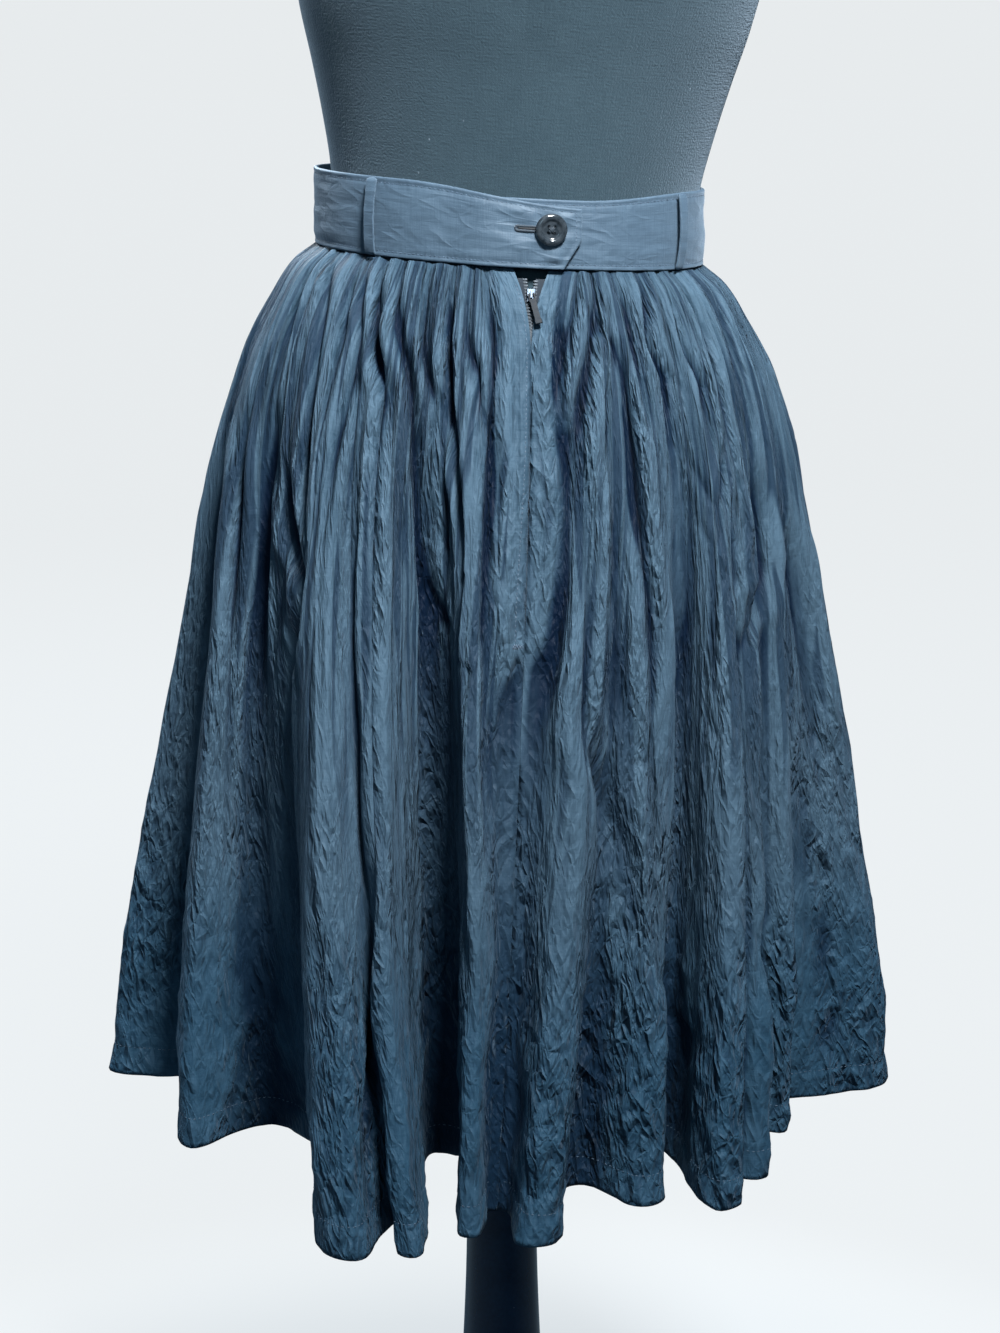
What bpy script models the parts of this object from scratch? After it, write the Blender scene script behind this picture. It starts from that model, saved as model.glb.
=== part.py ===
"""A gathered full skirt of crinkled cloth on a limbless dress form.

Metres, +Z up, the wearer faces -Y. The origin is the middle of the stand's
underside, so the floor is z = 0. Angles go round the form from the front (-Y)
towards +X. A place on the skirt is (turn, fall): turn is 0 at the centre front
seam and grows to 1 all the way round towards +X, and fall is 0 at the waist
seam and 1 at the hem.
"""

import math

import bmesh
import bpy
import numpy as np
from mathutils import Matrix, Vector

# Sizes that drive the skirt
SEAM_HEIGHT = 1.0135
HEM_HEIGHT = 0.4695
BAND_HEIGHT = 0.0455
CENTRE_FRONT = 7.0
WAIST_LEAN = math.radians(3.3)
HEM_LEAN = math.radians(1.6)
WAIST_SHIFT = 0.0045
CLOTH_WALL = 0.0012
SEAM_GAP = 0.0005
TOUCH_GAP = 0.0003

# Gathers: how many, how deep where they are deepest, and how fast they fade
GATHERS = 72
COLUMNS_PER_GATHER = 4
GATHER_DEPTH = 0.0027
GATHER_FADE = 0.30
FLAT_FRONT = 0.048
FLAT_FRONT_REACH = 0.008

# Rings of the skirt, as falls from the waist seam to the hem
RINGS = (0.0, 0.022, 0.065, 0.13, 0.22, 0.34, 0.48, 0.64, 0.82, 1.0)

# The skirt's outline at each fall: half width, depth in front and depth behind
OUTLINE_COLUMNS = ("fall", "half_width", "front", "back")
OUTLINE = (
    (0.00, 0.1174, 0.0958, 0.0958),
    (0.02, 0.1315, 0.1020, 0.1020),
    (0.06, 0.1455, 0.1125, 0.1115),
    (0.12, 0.1625, 0.1265, 0.1235),
    (0.20, 0.1775, 0.1440, 0.1385),
    (0.30, 0.1900, 0.1620, 0.1550),
    (0.40, 0.2005, 0.1780, 0.1700),
    (0.50, 0.2115, 0.1930, 0.1850),
    (0.62, 0.2245, 0.2100, 0.2020),
    (0.75, 0.2380, 0.2280, 0.2190),
    (0.88, 0.2490, 0.2460, 0.2360),
    (1.00, 0.2560, 0.2620, 0.2520),
)

# Each fold at the hem, from the centre front round: degrees and metres
FOLD_COLUMNS = (
    "crest_at",
    "crest_radius",
    "crest_width",
    "valley_at",
    "valley_radius",
    "valley_width",
)
HEM_FOLDS = (
    (5.0, 0.236, 4.5, 15.5, 0.166, 4.0),
    (26.0, 0.200, 5.0, 40.0, 0.142, 5.0),
    (36.5, 0.228, 4.5, 43.5, 0.202, 2.0),
    (48.5, 0.213, 3.0, 61.0, 0.166, 5.0),
    (68.0, 0.195, 3.0, 75.0, 0.165, 3.0),
    (93.0, 0.257, 5.0, 101.0, 0.170, 5.0),
    (111.0, 0.247, 5.0, 118.5, 0.166, 5.0),
    (128.5, 0.238, 6.0, 137.0, 0.150, 6.0),
    (146.0, 0.252, 5.0, 155.0, 0.165, 4.0),
    (164.0, 0.240, 6.0, 172.5, 0.142, 5.0),
    (184.0, 0.250, 7.0, 195.0, 0.170, 6.0),
    (207.5, 0.237, 6.0, 218.0, 0.160, 6.0),
    (231.0, 0.250, 6.0, 241.5, 0.176, 5.0),
    (252.0, 0.243, 5.0, 260.5, 0.176, 5.0),
    (270.0, 0.258, 4.0, 277.5, 0.185, 5.0),
    (300.0, 0.228, 5.0, 309.0, 0.168, 18.0),
    (340.5, 0.272, 4.5, 344.4, 0.222, 1.4),
    (348.0, 0.259, 2.5, 345.5, 0.126, 11.0),
    (355.0, 0.229, 2.2, 359.2, 0.196, 3.6),
)
# The rows whose valleys carry turn 0.25, 0.5, 0.75 and 1
QUARTER_ROWS = (5, 9, 14, 18)

# The zip below the band: how far its top stands open, and how far down it runs
ZIP_LENGTH = 0.200
OPEN_LEFT = 0.0098
OPEN_RIGHT = 0.0110
OPEN_FALL = 0.090
OPEN_CURVE = 2.2
OPEN_REACH = 0.030
TAPE_SHOWS = 0.62
TAPE_TURNS = (0.0012, 0.0035)
TAPE_WALL = 0.0010
TAPE_BEHIND = 0.0018
SLIDER_FALL = 0.0256
SLIDER_LIFT = -0.0010

# The slider's body and the arch on it, and the pull that the arch holds
BODY_SIZE = (0.0052, 0.0080, 0.0018)
BRIDGE_WIDTH = 0.0010
BRIDGE_HEIGHT = 0.0026
BRIDGE_LENGTH = 0.0048
BRIDGE_WIRE = 0.0008
PULL_LENGTH = 0.0170
PULL_WIDTH = 0.0042
PULL_WALL = 0.0009
PULL_WINDOW = 0.0038
PIVOT_HEIGHT = 0.0013
PULL_TILT = math.radians(14)
PULL_LEAN = math.radians(-5)

# The waistband: outer half width and depth, its wall, and its lapped end
BAND_HALF_WIDTH = 0.1186
BAND_DEPTH = 0.0970
BAND_WALL = 0.0024
LAP_RISE = 0.0029
UNDERLAP_AT = -3.0
TAB_AT = 383.6
TAB_CUT = 0.0095
TAB_CUT_HEIGHT = 0.45
LAP_FROM = 338.0
LAP_TO = 352.0

# Belt loops, as angles round the band
LOOP_ANGLES = (61.5, 128.0, 187.0, 246.0, 312.5)
LOOP_WIDTH = 0.0070
LOOP_WALL = 0.0012
LOOP_STAND = 0.0016

# The button
BUTTON_AT = 13.4
BUTTON_DIAMETER = 0.0185
BUTTON_THICKNESS = 0.0032
BUTTON_HOLE = 0.0019
BUTTON_HOLE_PITCH = 0.0034

# The form leans with the waist; its sections are taken at right angles to +Z
FORM_LEAN = WAIST_LEAN
FORM_SHIFT = 0.0070
FORM_COLUMNS = ("height", "half_width", "front", "back")
FORM = (
    (0.792, 0.1400, 0.0980, 0.1060),
    (0.800, 0.1490, 0.1050, 0.1140),
    (0.850, 0.1550, 0.1080, 0.1200),
    (0.900, 0.1510, 0.1050, 0.1160),
    (0.950, 0.1370, 0.0990, 0.1040),
    (0.990, 0.1205, 0.0935, 0.0940),
    (1.012, 0.1130, 0.0915, 0.0915),
    (1.036, 0.1100, 0.0905, 0.0905),
    (1.059, 0.1122, 0.0920, 0.0915),
    (1.090, 0.1184, 0.0960, 0.0945),
    (1.120, 0.1258, 0.1015, 0.0985),
    (1.155, 0.1352, 0.1105, 0.1035),
    (1.215, 0.1460, 0.1240, 0.1070),
    (1.275, 0.1500, 0.1150, 0.1080),
    (1.340, 0.1560, 0.0980, 0.1040),
    (1.385, 0.1530, 0.0860, 0.0940),
    (1.418, 0.1350, 0.0760, 0.0830),
    (1.440, 0.1020, 0.0670, 0.0720),
    (1.458, 0.0690, 0.0590, 0.0620),
    (1.480, 0.0570, 0.0540, 0.0560),
    (1.522, 0.0545, 0.0520, 0.0540),
)
FORM_SIDES = 36

# The stand: radius and height down the outside of the pole, then of the base
POLE_PROFILE = (
    (0.0225, 0.7917),
    (0.0226, 0.5000),
    (0.0233, 0.3900),
    (0.0240, 0.3400),
    (0.0262, 0.2800),
    (0.0305, 0.2150),
    (0.0380, 0.1500),
    (0.0500, 0.0950),
    (0.0680, 0.0560),
    (0.0900, 0.0340),
    (0.0980, 0.0253),
)
BASE_PROFILE = (
    (0.1700, 0.0250),
    (0.1765, 0.0225),
    (0.1790, 0.0170),
    (0.1790, 0.0070),
    (0.1770, 0.0020),
    (0.1740, 0.0000),
)

COLOURS = {
    "crinkled_cloth": ((0.030, 0.060, 0.095), 0.62, 0.0),
    "band_cloth": ((0.045, 0.085, 0.125), 0.66, 0.0),
    "form_cloth": ((0.030, 0.050, 0.072), 0.90, 0.0),
    "button_plastic": ((0.020, 0.030, 0.040), 0.18, 0.0),
    "zip_metal": ((0.055, 0.070, 0.085), 0.34, 0.9),
    "stand_lacquer": ((0.006, 0.012, 0.020), 0.16, 0.0),
}


def clear_scene():
    for obj in list(bpy.data.objects):
        bpy.data.objects.remove(obj, do_unlink=True)


def new_collection(name, helper=False):
    collection = bpy.data.collections.new(name)
    bpy.context.scene.collection.children.link(collection)
    collection.hide_render = helper
    return collection


def material(name):
    made = bpy.data.materials.get(name)
    if made:
        return made
    colour, roughness, metallic = COLOURS[name]
    made = bpy.data.materials.new(name)
    made.use_nodes = True
    shader = made.node_tree.nodes["Principled BSDF"]
    shader.inputs["Base Color"].default_value = (*colour, 1.0)
    shader.inputs["Roughness"].default_value = roughness
    shader.inputs["Metallic"].default_value = metallic
    return made


def add_object(name, mesh, finish, collection):
    obj = bpy.data.objects.new(name, mesh)
    collection.objects.link(obj)
    mesh.materials.append(material(finish))
    return obj


def grid_mesh(name, points):
    """A sheet of four-sided faces over a grid of points, rows by columns."""
    rows, columns = points.shape[:2]
    index = np.arange(rows * columns).reshape(rows, columns)
    corners = (index[:-1, :-1], index[1:, :-1], index[1:, 1:], index[:-1, 1:])
    faces = np.stack(corners, axis=-1).reshape(-1, 4)
    mesh = bpy.data.meshes.new(name)
    mesh.from_pydata(points.reshape(-1, 3).tolist(), [], faces.tolist())
    mesh.validate()
    mesh.shade_smooth()
    return mesh


def add_wall(obj, thickness):
    """Gives a sheet its thickness, half to each side."""
    wall = obj.modifiers.new("wall", "SOLIDIFY")
    wall.thickness = thickness
    wall.offset = 0.0


def between(low, high, value):
    """0 below low, 1 above high, and a soft step from one to the other."""
    share = np.clip((value - low) / (high - low), 0.0, 1.0)
    return share * share * (3.0 - 2.0 * share)


def column(rows, names, name):
    return np.array([row[names.index(name)] for row in rows])


def smooth(value, at, heights):
    """A smooth curve through the rows of a table, which never overshoots them."""
    value = np.asarray(value, float)
    rise = np.diff(heights) / np.diff(at)
    slope = np.zeros(len(at))
    same_way = rise[:-1] * rise[1:] > 0
    mean = np.where(same_way, 2 * rise[:-1] * rise[1:] / (rise[:-1] + rise[1:] + 1e-12), 0)
    slope[1:-1] = mean
    slope[0] = rise[0]
    slope[-1] = rise[-1]
    row = np.clip(np.searchsorted(at, value, side="right") - 1, 0, len(at) - 2)
    span = at[row + 1] - at[row]
    share = np.clip((value - at[row]) / span, 0.0, 1.0)
    start = (1 + 2 * share) * (1 - share) ** 2 * heights[row]
    end = share**2 * (3 - 2 * share) * heights[row + 1]
    bend = share * (1 - share) ** 2 * slope[row] - share**2 * (1 - share) * slope[row + 1]
    return start + end + bend * span


def ellipse_radius(degrees, half_width, front, back):
    """How far an ellipse reaches from its middle at an angle from the front."""
    angle = np.radians(degrees)
    depth = np.where(np.cos(angle) > 0, front, back)
    return 1.0 / np.hypot(np.sin(angle) / half_width, np.cos(angle) / depth)


def outline_radius(degrees, fall):
    falls = column(OUTLINE, OUTLINE_COLUMNS, "fall")
    sizes = [
        smooth(fall, falls, column(OUTLINE, OUTLINE_COLUMNS, name))
        for name in OUTLINE_COLUMNS[1:]
    ]
    return ellipse_radius(degrees, *sizes)


def hem_corners():
    """The corners of the hem's path: both ends of each crest and of each valley.

    They start in the middle of the valley at turn 0 and end there one turn on.
    """
    folds = [dict(zip(FOLD_COLUMNS, row)) for row in HEM_FOLDS]
    last = folds[-1]
    start = (last["valley_at"] - 360.0, last["valley_radius"])
    corners = [start, (start[0] + last["valley_width"] / 2, start[1])]
    middles = [0]
    for number, fold in enumerate(folds):
        for place in ("crest", "valley"):
            at, radius = fold[f"{place}_at"], fold[f"{place}_radius"]
            half = fold[f"{place}_width"] / 2
            corners.append((at - half, radius))
            if place == "valley" and number in QUARTER_ROWS:
                middles.append(len(corners))
                corners.append((at, radius))
            corners.append((at + half, radius))
    corners.pop()
    return np.array(corners), middles


def rounded_path(corners, steps):
    """A soft closed path through the corners, which are (degrees, radius) pairs."""
    angle = np.radians(corners[:, 0])
    plane = np.stack([corners[:, 1] * np.sin(angle), -corners[:, 1] * np.cos(angle)], axis=1)
    around = np.concatenate([plane[-2:-1], plane, plane[1:2]])
    knots = np.cumsum(np.sqrt(np.linalg.norm(np.diff(around, axis=0), axis=1)))
    knots = np.concatenate([[0.0], knots])
    share = np.linspace(0.0, 1.0, steps, endpoint=False)
    runs = []
    for first in range(len(plane) - 1):
        p0, p1, p2, p3 = around[first : first + 4]
        k0, k1, k2, k3 = knots[first : first + 4]
        at = (k1 + (k2 - k1) * share)[:, None]
        a1 = (k1 - at) / (k1 - k0) * p0 + (at - k0) / (k1 - k0) * p1
        a2 = (k2 - at) / (k2 - k1) * p1 + (at - k1) / (k2 - k1) * p2
        a3 = (k3 - at) / (k3 - k2) * p2 + (at - k2) / (k3 - k2) * p3
        b1 = (k2 - at) / (k2 - k0) * a1 + (at - k0) / (k2 - k0) * a2
        b2 = (k3 - at) / (k3 - k1) * a2 + (at - k1) / (k3 - k1) * a3
        runs.append((k2 - at) / (k2 - k1) * b1 + (at - k1) / (k2 - k1) * b2)
    return np.concatenate(runs + [plane[-1:]])


def hem_table(steps=16):
    """(turn, degrees, radius) along the hem, even by cloth length in each quarter."""
    corners, middles = hem_corners()
    path = rounded_path(corners, steps)
    length = np.concatenate([[0], np.cumsum(np.linalg.norm(np.diff(path, axis=0), axis=1))])
    seams = length[np.array(middles) * steps]
    turn = np.interp(length, seams, np.linspace(0.0, 1.0, len(seams)))
    degrees = np.degrees(np.unwrap(np.arctan2(path[:, 0], -path[:, 1])))
    degrees += 360.0 * round((corners[0, 0] - degrees[0]) / 360.0)
    return turn, degrees, np.hypot(path[:, 0], path[:, 1])


HEM = hem_table()


def waist_degrees(turn):
    """Where each turn of cloth meets the band: flat at the zip, gathered elsewhere."""
    away = (turn + 0.5) % 1.0 - 0.5
    spread = 0.5 * np.tanh(away / FLAT_FRONT_REACH) - away
    uneven = 0.0030 * np.sin(2 * np.pi * 5 * turn) + 0.0016 * np.sin(2 * np.pi * 13 * turn)
    return CENTRE_FRONT + 360.0 * (turn + FLAT_FRONT * spread + uneven * between(0.01, 0.04, abs(away)))


def gather_depth(turn, fall):
    """Gathers rise just under the band, differ from one to the next and fade down."""
    away = abs((turn + 0.5) % 1.0 - 0.5)
    uneven = 0.80 + 0.20 * np.sin(2 * np.pi * 11 * turn + 1.0) * np.sin(2 * np.pi * 4 * turn)
    rise = 0.45 + 0.55 * between(0.0, 0.05, fall)
    wave = np.cos(2 * np.pi * GATHERS * turn)
    flat = between(0.006, 0.014, away)
    return GATHER_DEPTH * rise * np.exp(-fall / GATHER_FADE) * uneven * flat * wave


def opening(fall):
    """The zip's open top, from 1 at the band to 0 where it is closed."""
    return np.clip(1.0 - fall / OPEN_FALL, 0.0, 1.0) ** OPEN_CURVE


def placket_shift(turn, fall):
    """How far, along the waist, the open top of the zip pushes each front aside."""
    away = (turn + 0.5) % 1.0 - 0.5
    width = np.where(away < 0, -OPEN_LEFT, OPEN_RIGHT)
    near = 1.0 - between(0.0, OPEN_REACH, abs(away))
    return width * near * opening(fall)


def skirt_point(turn, fall):
    """The skirt's middle surface.

    The angle goes from its place at the waist to its place on the hem. The
    radius is the outline's, less the hem's fold depth grown with the fall, and
    plus the gathers. The height runs evenly from the waist seam to the hem.
    """
    turn, fall = np.broadcast_arrays(np.asarray(turn, float), np.asarray(fall, float))
    hem_degrees = np.interp(turn, HEM[0], HEM[1])
    hem_radius = np.interp(turn, HEM[0], HEM[2])
    top_degrees = waist_degrees(turn)
    degrees = top_degrees + (hem_degrees - top_degrees) * fall**0.9
    depth = outline_radius(hem_degrees, 1.0) - hem_radius
    radius = outline_radius(degrees, fall) - depth * fall**1.25 + gather_depth(turn, fall)
    angle = np.radians(degrees) + placket_shift(turn, fall) / radius
    x = radius * np.sin(angle) + WAIST_SHIFT * (1.0 - fall)
    y = -radius * np.cos(angle)
    seam = SEAM_HEIGHT - TOUCH_GAP - CLOTH_WALL / 2 - x * math.tan(WAIST_LEAN)
    hem = HEM_HEIGHT - x * math.tan(HEM_LEAN)
    return np.stack([x, y, seam + (hem - seam) * fall], axis=-1)


def skirt_normal(turn, fall):
    """The direction straight out of the cloth, by small steps along and down it."""
    step = 1e-4
    along = skirt_point(turn + step, fall) - skirt_point(turn - step, fall)
    down = skirt_point(turn, fall + step) - skirt_point(turn, np.maximum(fall - step, 0.0))
    out = np.cross(down, along)
    return out / np.linalg.norm(out, axis=-1, keepdims=True)


def seam_inset(fall):
    """Half a seam's gap, as a share of the cloth's run at that fall."""
    run = 0.68 + (2.70 - 0.68) * fall
    return SEAM_GAP / 2 / run


def skirt_panel(name, first, last, collection):
    """One cut piece of the skirt between two turns, gathered at its top."""
    columns = round((last - first) * GATHERS * COLUMNS_PER_GATHER)
    share = np.linspace(0.0, 1.0, columns + 1)[None, :]
    fall = np.array(RINGS)[:, None]
    inset = seam_inset(fall)
    turn = (first + inset) + (last - first - 2 * inset) * share
    obj = add_object(name, grid_mesh(name, skirt_point(turn, fall)), "crinkled_cloth", collection)
    add_wall(obj, CLOTH_WALL)
    return obj


def zip_tape(name, side, collection):
    """A zip's tape behind one front edge, made from the cloth's own points.

    Its first column stands out from the edge, into the open top of the zip.
    """
    fall = np.linspace(0.008, ZIP_LENGTH / (SEAM_HEIGHT - HEM_HEIGHT), 10)[:, None]
    inset = seam_inset(fall)
    turn = side * np.concatenate([inset, inset + TAPE_TURNS[0], inset + TAPE_TURNS[1]], axis=1)
    points = skirt_point(turn % 1.0, fall) - TAPE_BEHIND * skirt_normal(turn % 1.0, fall)
    along = points[:, 0] - points[:, 1]
    along /= np.linalg.norm(along, axis=1, keepdims=True)
    width = OPEN_RIGHT if side > 0 else OPEN_LEFT
    shows = 0.0001 + TAPE_SHOWS * width * opening(fall)
    points = np.concatenate([(points[:, 0] + along * shows)[:, None], points], axis=1)
    if side < 0:
        points = points[:, ::-1]
    obj = add_object(name, grid_mesh(name, points), "band_cloth", collection)
    add_wall(obj, TAPE_WALL)
    return obj


def band_point(degrees, height, proud=0.0):
    """A point on the band's outer face: angle, share of its height, distance out."""
    angle = np.radians(degrees)
    half_width = BAND_HALF_WIDTH + proud
    depth = BAND_DEPTH + proud
    radius = ellipse_radius(degrees, half_width, depth, depth)
    x = radius * np.sin(angle) + WAIST_SHIFT
    y = -radius * np.cos(angle)
    z = SEAM_HEIGHT + height * BAND_HEIGHT - x * math.tan(WAIST_LEAN)
    return np.stack(np.broadcast_arrays(x, y, z), axis=-1)


def lap_rise(degrees):
    """The lapped end climbs over the end under it."""
    return LAP_RISE * between(LAP_FROM, LAP_TO, degrees)


def waistband(collection):
    """One strip, from the end under the lap, right round, to the slanted tab."""
    heights = np.array([0.0, TAB_CUT_HEIGHT, 1.0])[:, None]
    share = np.linspace(0.0, 1.0, 85)[None, :]
    cut = TAB_CUT * np.clip(1.0 - heights / TAB_CUT_HEIGHT, 0.0, 1.0)
    end = TAB_AT - np.degrees(cut / BAND_DEPTH)
    degrees = UNDERLAP_AT + (end - UNDERLAP_AT) * share
    points = band_point(degrees, heights, lap_rise(degrees) - BAND_WALL / 2)
    obj = add_object("waistband", grid_mesh("waistband", points[::-1]), "band_cloth", collection)
    add_wall(obj, BAND_WALL)
    return obj


def outward_frame(degrees, height, proud):
    """Where a piece sits on the band: X along the band, Z straight out of it."""
    place = band_point(np.array(degrees), height, proud)
    ahead = band_point(np.array(degrees + 0.5), height, proud)
    along = Vector(ahead - place).normalized()
    up = Vector((0.0, 0.0, 1.0))
    out = along.cross(up).normalized()
    up = out.cross(along)
    turned = Matrix((along, up, out)).transposed().to_4x4()
    turned.translation = Vector(place)
    return turned


def belt_loop(name, degrees, collection):
    """A narrow strap down the band, which stands off it between its sewn ends."""
    share = np.linspace(0.0, 1.0, 7)[:, None]
    stand = TOUCH_GAP + LOOP_WALL / 2 + LOOP_STAND * np.sin(np.pi * share) ** 0.7
    half = LOOP_WIDTH / 2
    across = np.array([-half, 0.0, half])[None, :]
    height = BAND_HEIGHT * (share - 0.5) * 0.985
    local = np.stack(np.broadcast_arrays(across, height, stand), axis=-1)
    frame = outward_frame(degrees, 0.5, 0.0005)
    mesh = grid_mesh(name, local[::-1])
    obj = add_object(name, mesh, "band_cloth", collection)
    obj.matrix_world = frame
    add_wall(obj, LOOP_WALL)
    return obj


def turned_mesh(name, profile, sides):
    """A profile of (radius, height) pairs turned round Z, closed on the axis."""
    mesh = bpy.data.meshes.new(name)
    body = bmesh.new()
    points = [Vector((0.0, 0.0, profile[0][1]))]
    points += [Vector((radius, 0.0, height)) for radius, height in profile]
    points.append(Vector((0.0, 0.0, profile[-1][1])))
    verts = [body.verts.new(point) for point in points]
    edges = [body.edges.new(pair) for pair in zip(verts, verts[1:])]
    bmesh.ops.spin(
        body,
        geom=verts + edges,
        cent=(0, 0, 0),
        axis=(0, 0, 1),
        angle=2 * math.pi,
        steps=sides,
    )
    bmesh.ops.remove_doubles(body, verts=body.verts, dist=1e-6)
    bmesh.ops.recalc_face_normals(body, faces=body.faces)
    body.to_mesh(mesh)
    body.free()
    mesh.shade_smooth()
    mesh.set_sharp_from_angle(angle=math.radians(40))
    return mesh


def button(collection, cutters):
    """A four-hole button with a raised rim, laid on the tab of the band."""
    radius = BUTTON_DIAMETER / 2
    thick = BUTTON_THICKNESS
    profile = (
        (radius * 0.52, thick * 0.62),
        (radius * 0.66, thick * 0.94),
        (radius * 0.78, thick),
        (radius * 0.93, thick * 0.84),
        (radius, thick * 0.50),
        (radius * 0.93, thick * 0.14),
        (radius * 0.80, 0.0),
    )
    obj = add_object("button", turned_mesh("button", profile, 20), "button_plastic", collection)
    frame = outward_frame(BUTTON_AT, 0.5, LAP_RISE + 0.0006)
    obj.matrix_world = frame
    for number, quarter in enumerate((45, 135, 225, 315)):
        hole = bpy.data.meshes.new("button_hole")
        body = bmesh.new()
        bmesh.ops.create_cone(
            body,
            cap_ends=True,
            segments=6,
            radius1=BUTTON_HOLE / 2,
            radius2=BUTTON_HOLE / 2,
            depth=thick * 3,
        )
        body.to_mesh(hole)
        body.free()
        cutter = bpy.data.objects.new(f"button_hole_{number}", hole)
        cutters.objects.link(cutter)
        reach = BUTTON_HOLE_PITCH / math.sqrt(2)
        turn = math.radians(quarter)
        place = Vector((reach * math.cos(turn), reach * math.sin(turn), thick / 2))
        cutter.matrix_world = frame @ Matrix.Translation(place)
        cutter.hide_render = True
        cutter.display_type = "WIRE"
        cut = obj.modifiers.new(f"hole_{number}", "BOOLEAN")
        cut.operation = "DIFFERENCE"
        cut.object = cutter
    return obj


def block(name, size, middle, bevel=0.0):
    """A mesh block of a size round a middle, its edges rounded."""
    mesh = bpy.data.meshes.new(name)
    body = bmesh.new()
    bmesh.ops.create_cube(body, size=1.0)
    bmesh.ops.scale(body, vec=size, verts=body.verts)
    if bevel:
        bmesh.ops.bevel(
            body, geom=body.edges[:], offset=bevel, segments=1, affect="EDGES", profile=0.5
        )
    bmesh.ops.translate(body, vec=middle, verts=body.verts)
    body.to_mesh(mesh)
    body.free()
    return mesh


def join_meshes(target, names_and_meshes, cutters):
    """Adds each mesh to the target object with a Boolean union in its own frame."""
    for name, mesh in names_and_meshes:
        helper = bpy.data.objects.new(name, mesh)
        cutters.objects.link(helper)
        helper.matrix_world = target.matrix_world
        helper.hide_render = True
        helper.display_type = "WIRE"
        union = target.modifiers.new(name, "BOOLEAN")
        union.operation = "UNION"
        union.object = helper


def slider_frame():
    """The slider's place on the zip: X across, Y up along the cloth, Z out of it."""
    fall = np.array(SLIDER_FALL)
    edge = seam_inset(fall)
    place = (skirt_point(edge, fall) + skirt_point(1.0 - edge, fall)) / 2
    below = (skirt_point(edge, fall + 0.02) + skirt_point(1.0 - edge, fall + 0.02)) / 2
    up = Vector(place - below).normalized()
    across = Vector((1.0, 0.0, -math.tan(WAIST_LEAN))).normalized()
    out = across.cross(up).normalized()
    across = up.cross(out)
    frame = Matrix((across, up, out)).transposed().to_4x4()
    frame.translation = Vector(place) + out * SLIDER_LIFT
    return frame


def zip_slider(frame, collection, cutters):
    """The slider: a small body with an arch on it that holds the pull."""
    top = BODY_SIZE[2]
    body = block("zip_slider", BODY_SIZE, (0.0, 0.0, top / 2), 0.0004)
    obj = add_object("zip_slider", body, "zip_metal", collection)
    obj.matrix_world = frame
    leg = (BRIDGE_LENGTH - BRIDGE_WIRE) / 2
    crown = (BRIDGE_WIDTH, BRIDGE_LENGTH, BRIDGE_WIRE)
    post = (BRIDGE_WIDTH * 0.98, BRIDGE_WIRE, BRIDGE_HEIGHT)
    middle = top + BRIDGE_HEIGHT / 2 - 0.0002
    parts = [
        ("bridge_top", block("bridge_top", crown, (0, 0, top + BRIDGE_HEIGHT))),
        ("bridge_upper", block("bridge_upper", post, (0, leg - 0.0001, middle))),
        ("bridge_lower", block("bridge_lower", post, (0, 0.0001 - leg, middle))),
    ]
    join_meshes(obj, parts, cutters)
    return obj


def zip_pull(frame, collection, cutters):
    """The pull: a flat tab whose upper bar passes under the slider's arch.

    Its origin is the middle of that bar, which is the axis it swings on.
    """
    place = Matrix.Translation((0.0, 0.0, BODY_SIZE[2] + PIVOT_HEIGHT))
    turned = Matrix.Rotation(PULL_TILT, 4, "Z") @ Matrix.Rotation(PULL_LEAN, 4, "X")
    bar = (PULL_WIDTH, PULL_WALL, PULL_WALL)
    obj = add_object("zip_pull", block("zip_pull", bar, (0, 0, 0)), "zip_metal", collection)
    obj.matrix_world = frame @ place @ turned
    lap = 0.0004
    arm = (PULL_WALL * 0.95, PULL_WINDOW + lap, PULL_WALL * 0.95)
    reach = (PULL_WIDTH - PULL_WALL) / 2
    tab_length = PULL_LENGTH - PULL_WINDOW
    tab = (PULL_WIDTH * 0.8, tab_length, PULL_WALL * 0.9)
    head = (PULL_WIDTH, 0.0016, PULL_WALL)
    end = (PULL_WIDTH, 0.0030, PULL_WALL * 1.5)
    parts = [
        ("arm_left", block("arm_left", arm, (lap / 4 - reach, -PULL_WINDOW / 2, 0))),
        ("arm_right", block("arm_right", arm, (reach - lap / 4, -PULL_WINDOW / 2, 0))),
        ("tab", block("tab", tab, (0, -PULL_WINDOW - tab_length / 2, 0))),
        ("tab_head", block("tab_head", head, (0, -PULL_WINDOW, 0))),
        ("tab_end", block("tab_end", end, (0, -PULL_LENGTH, 0), 0.0003)),
    ]
    join_meshes(obj, parts, cutters)
    return obj


def form_section(height):
    heights = column(FORM, FORM_COLUMNS, "height")
    return [
        smooth(height, heights, column(FORM, FORM_COLUMNS, name)) for name in FORM_COLUMNS[1:]
    ]


def form_centre(height):
    return FORM_SHIFT + (height - SEAM_HEIGHT - BAND_HEIGHT / 2) * math.tan(FORM_LEAN)


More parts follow.
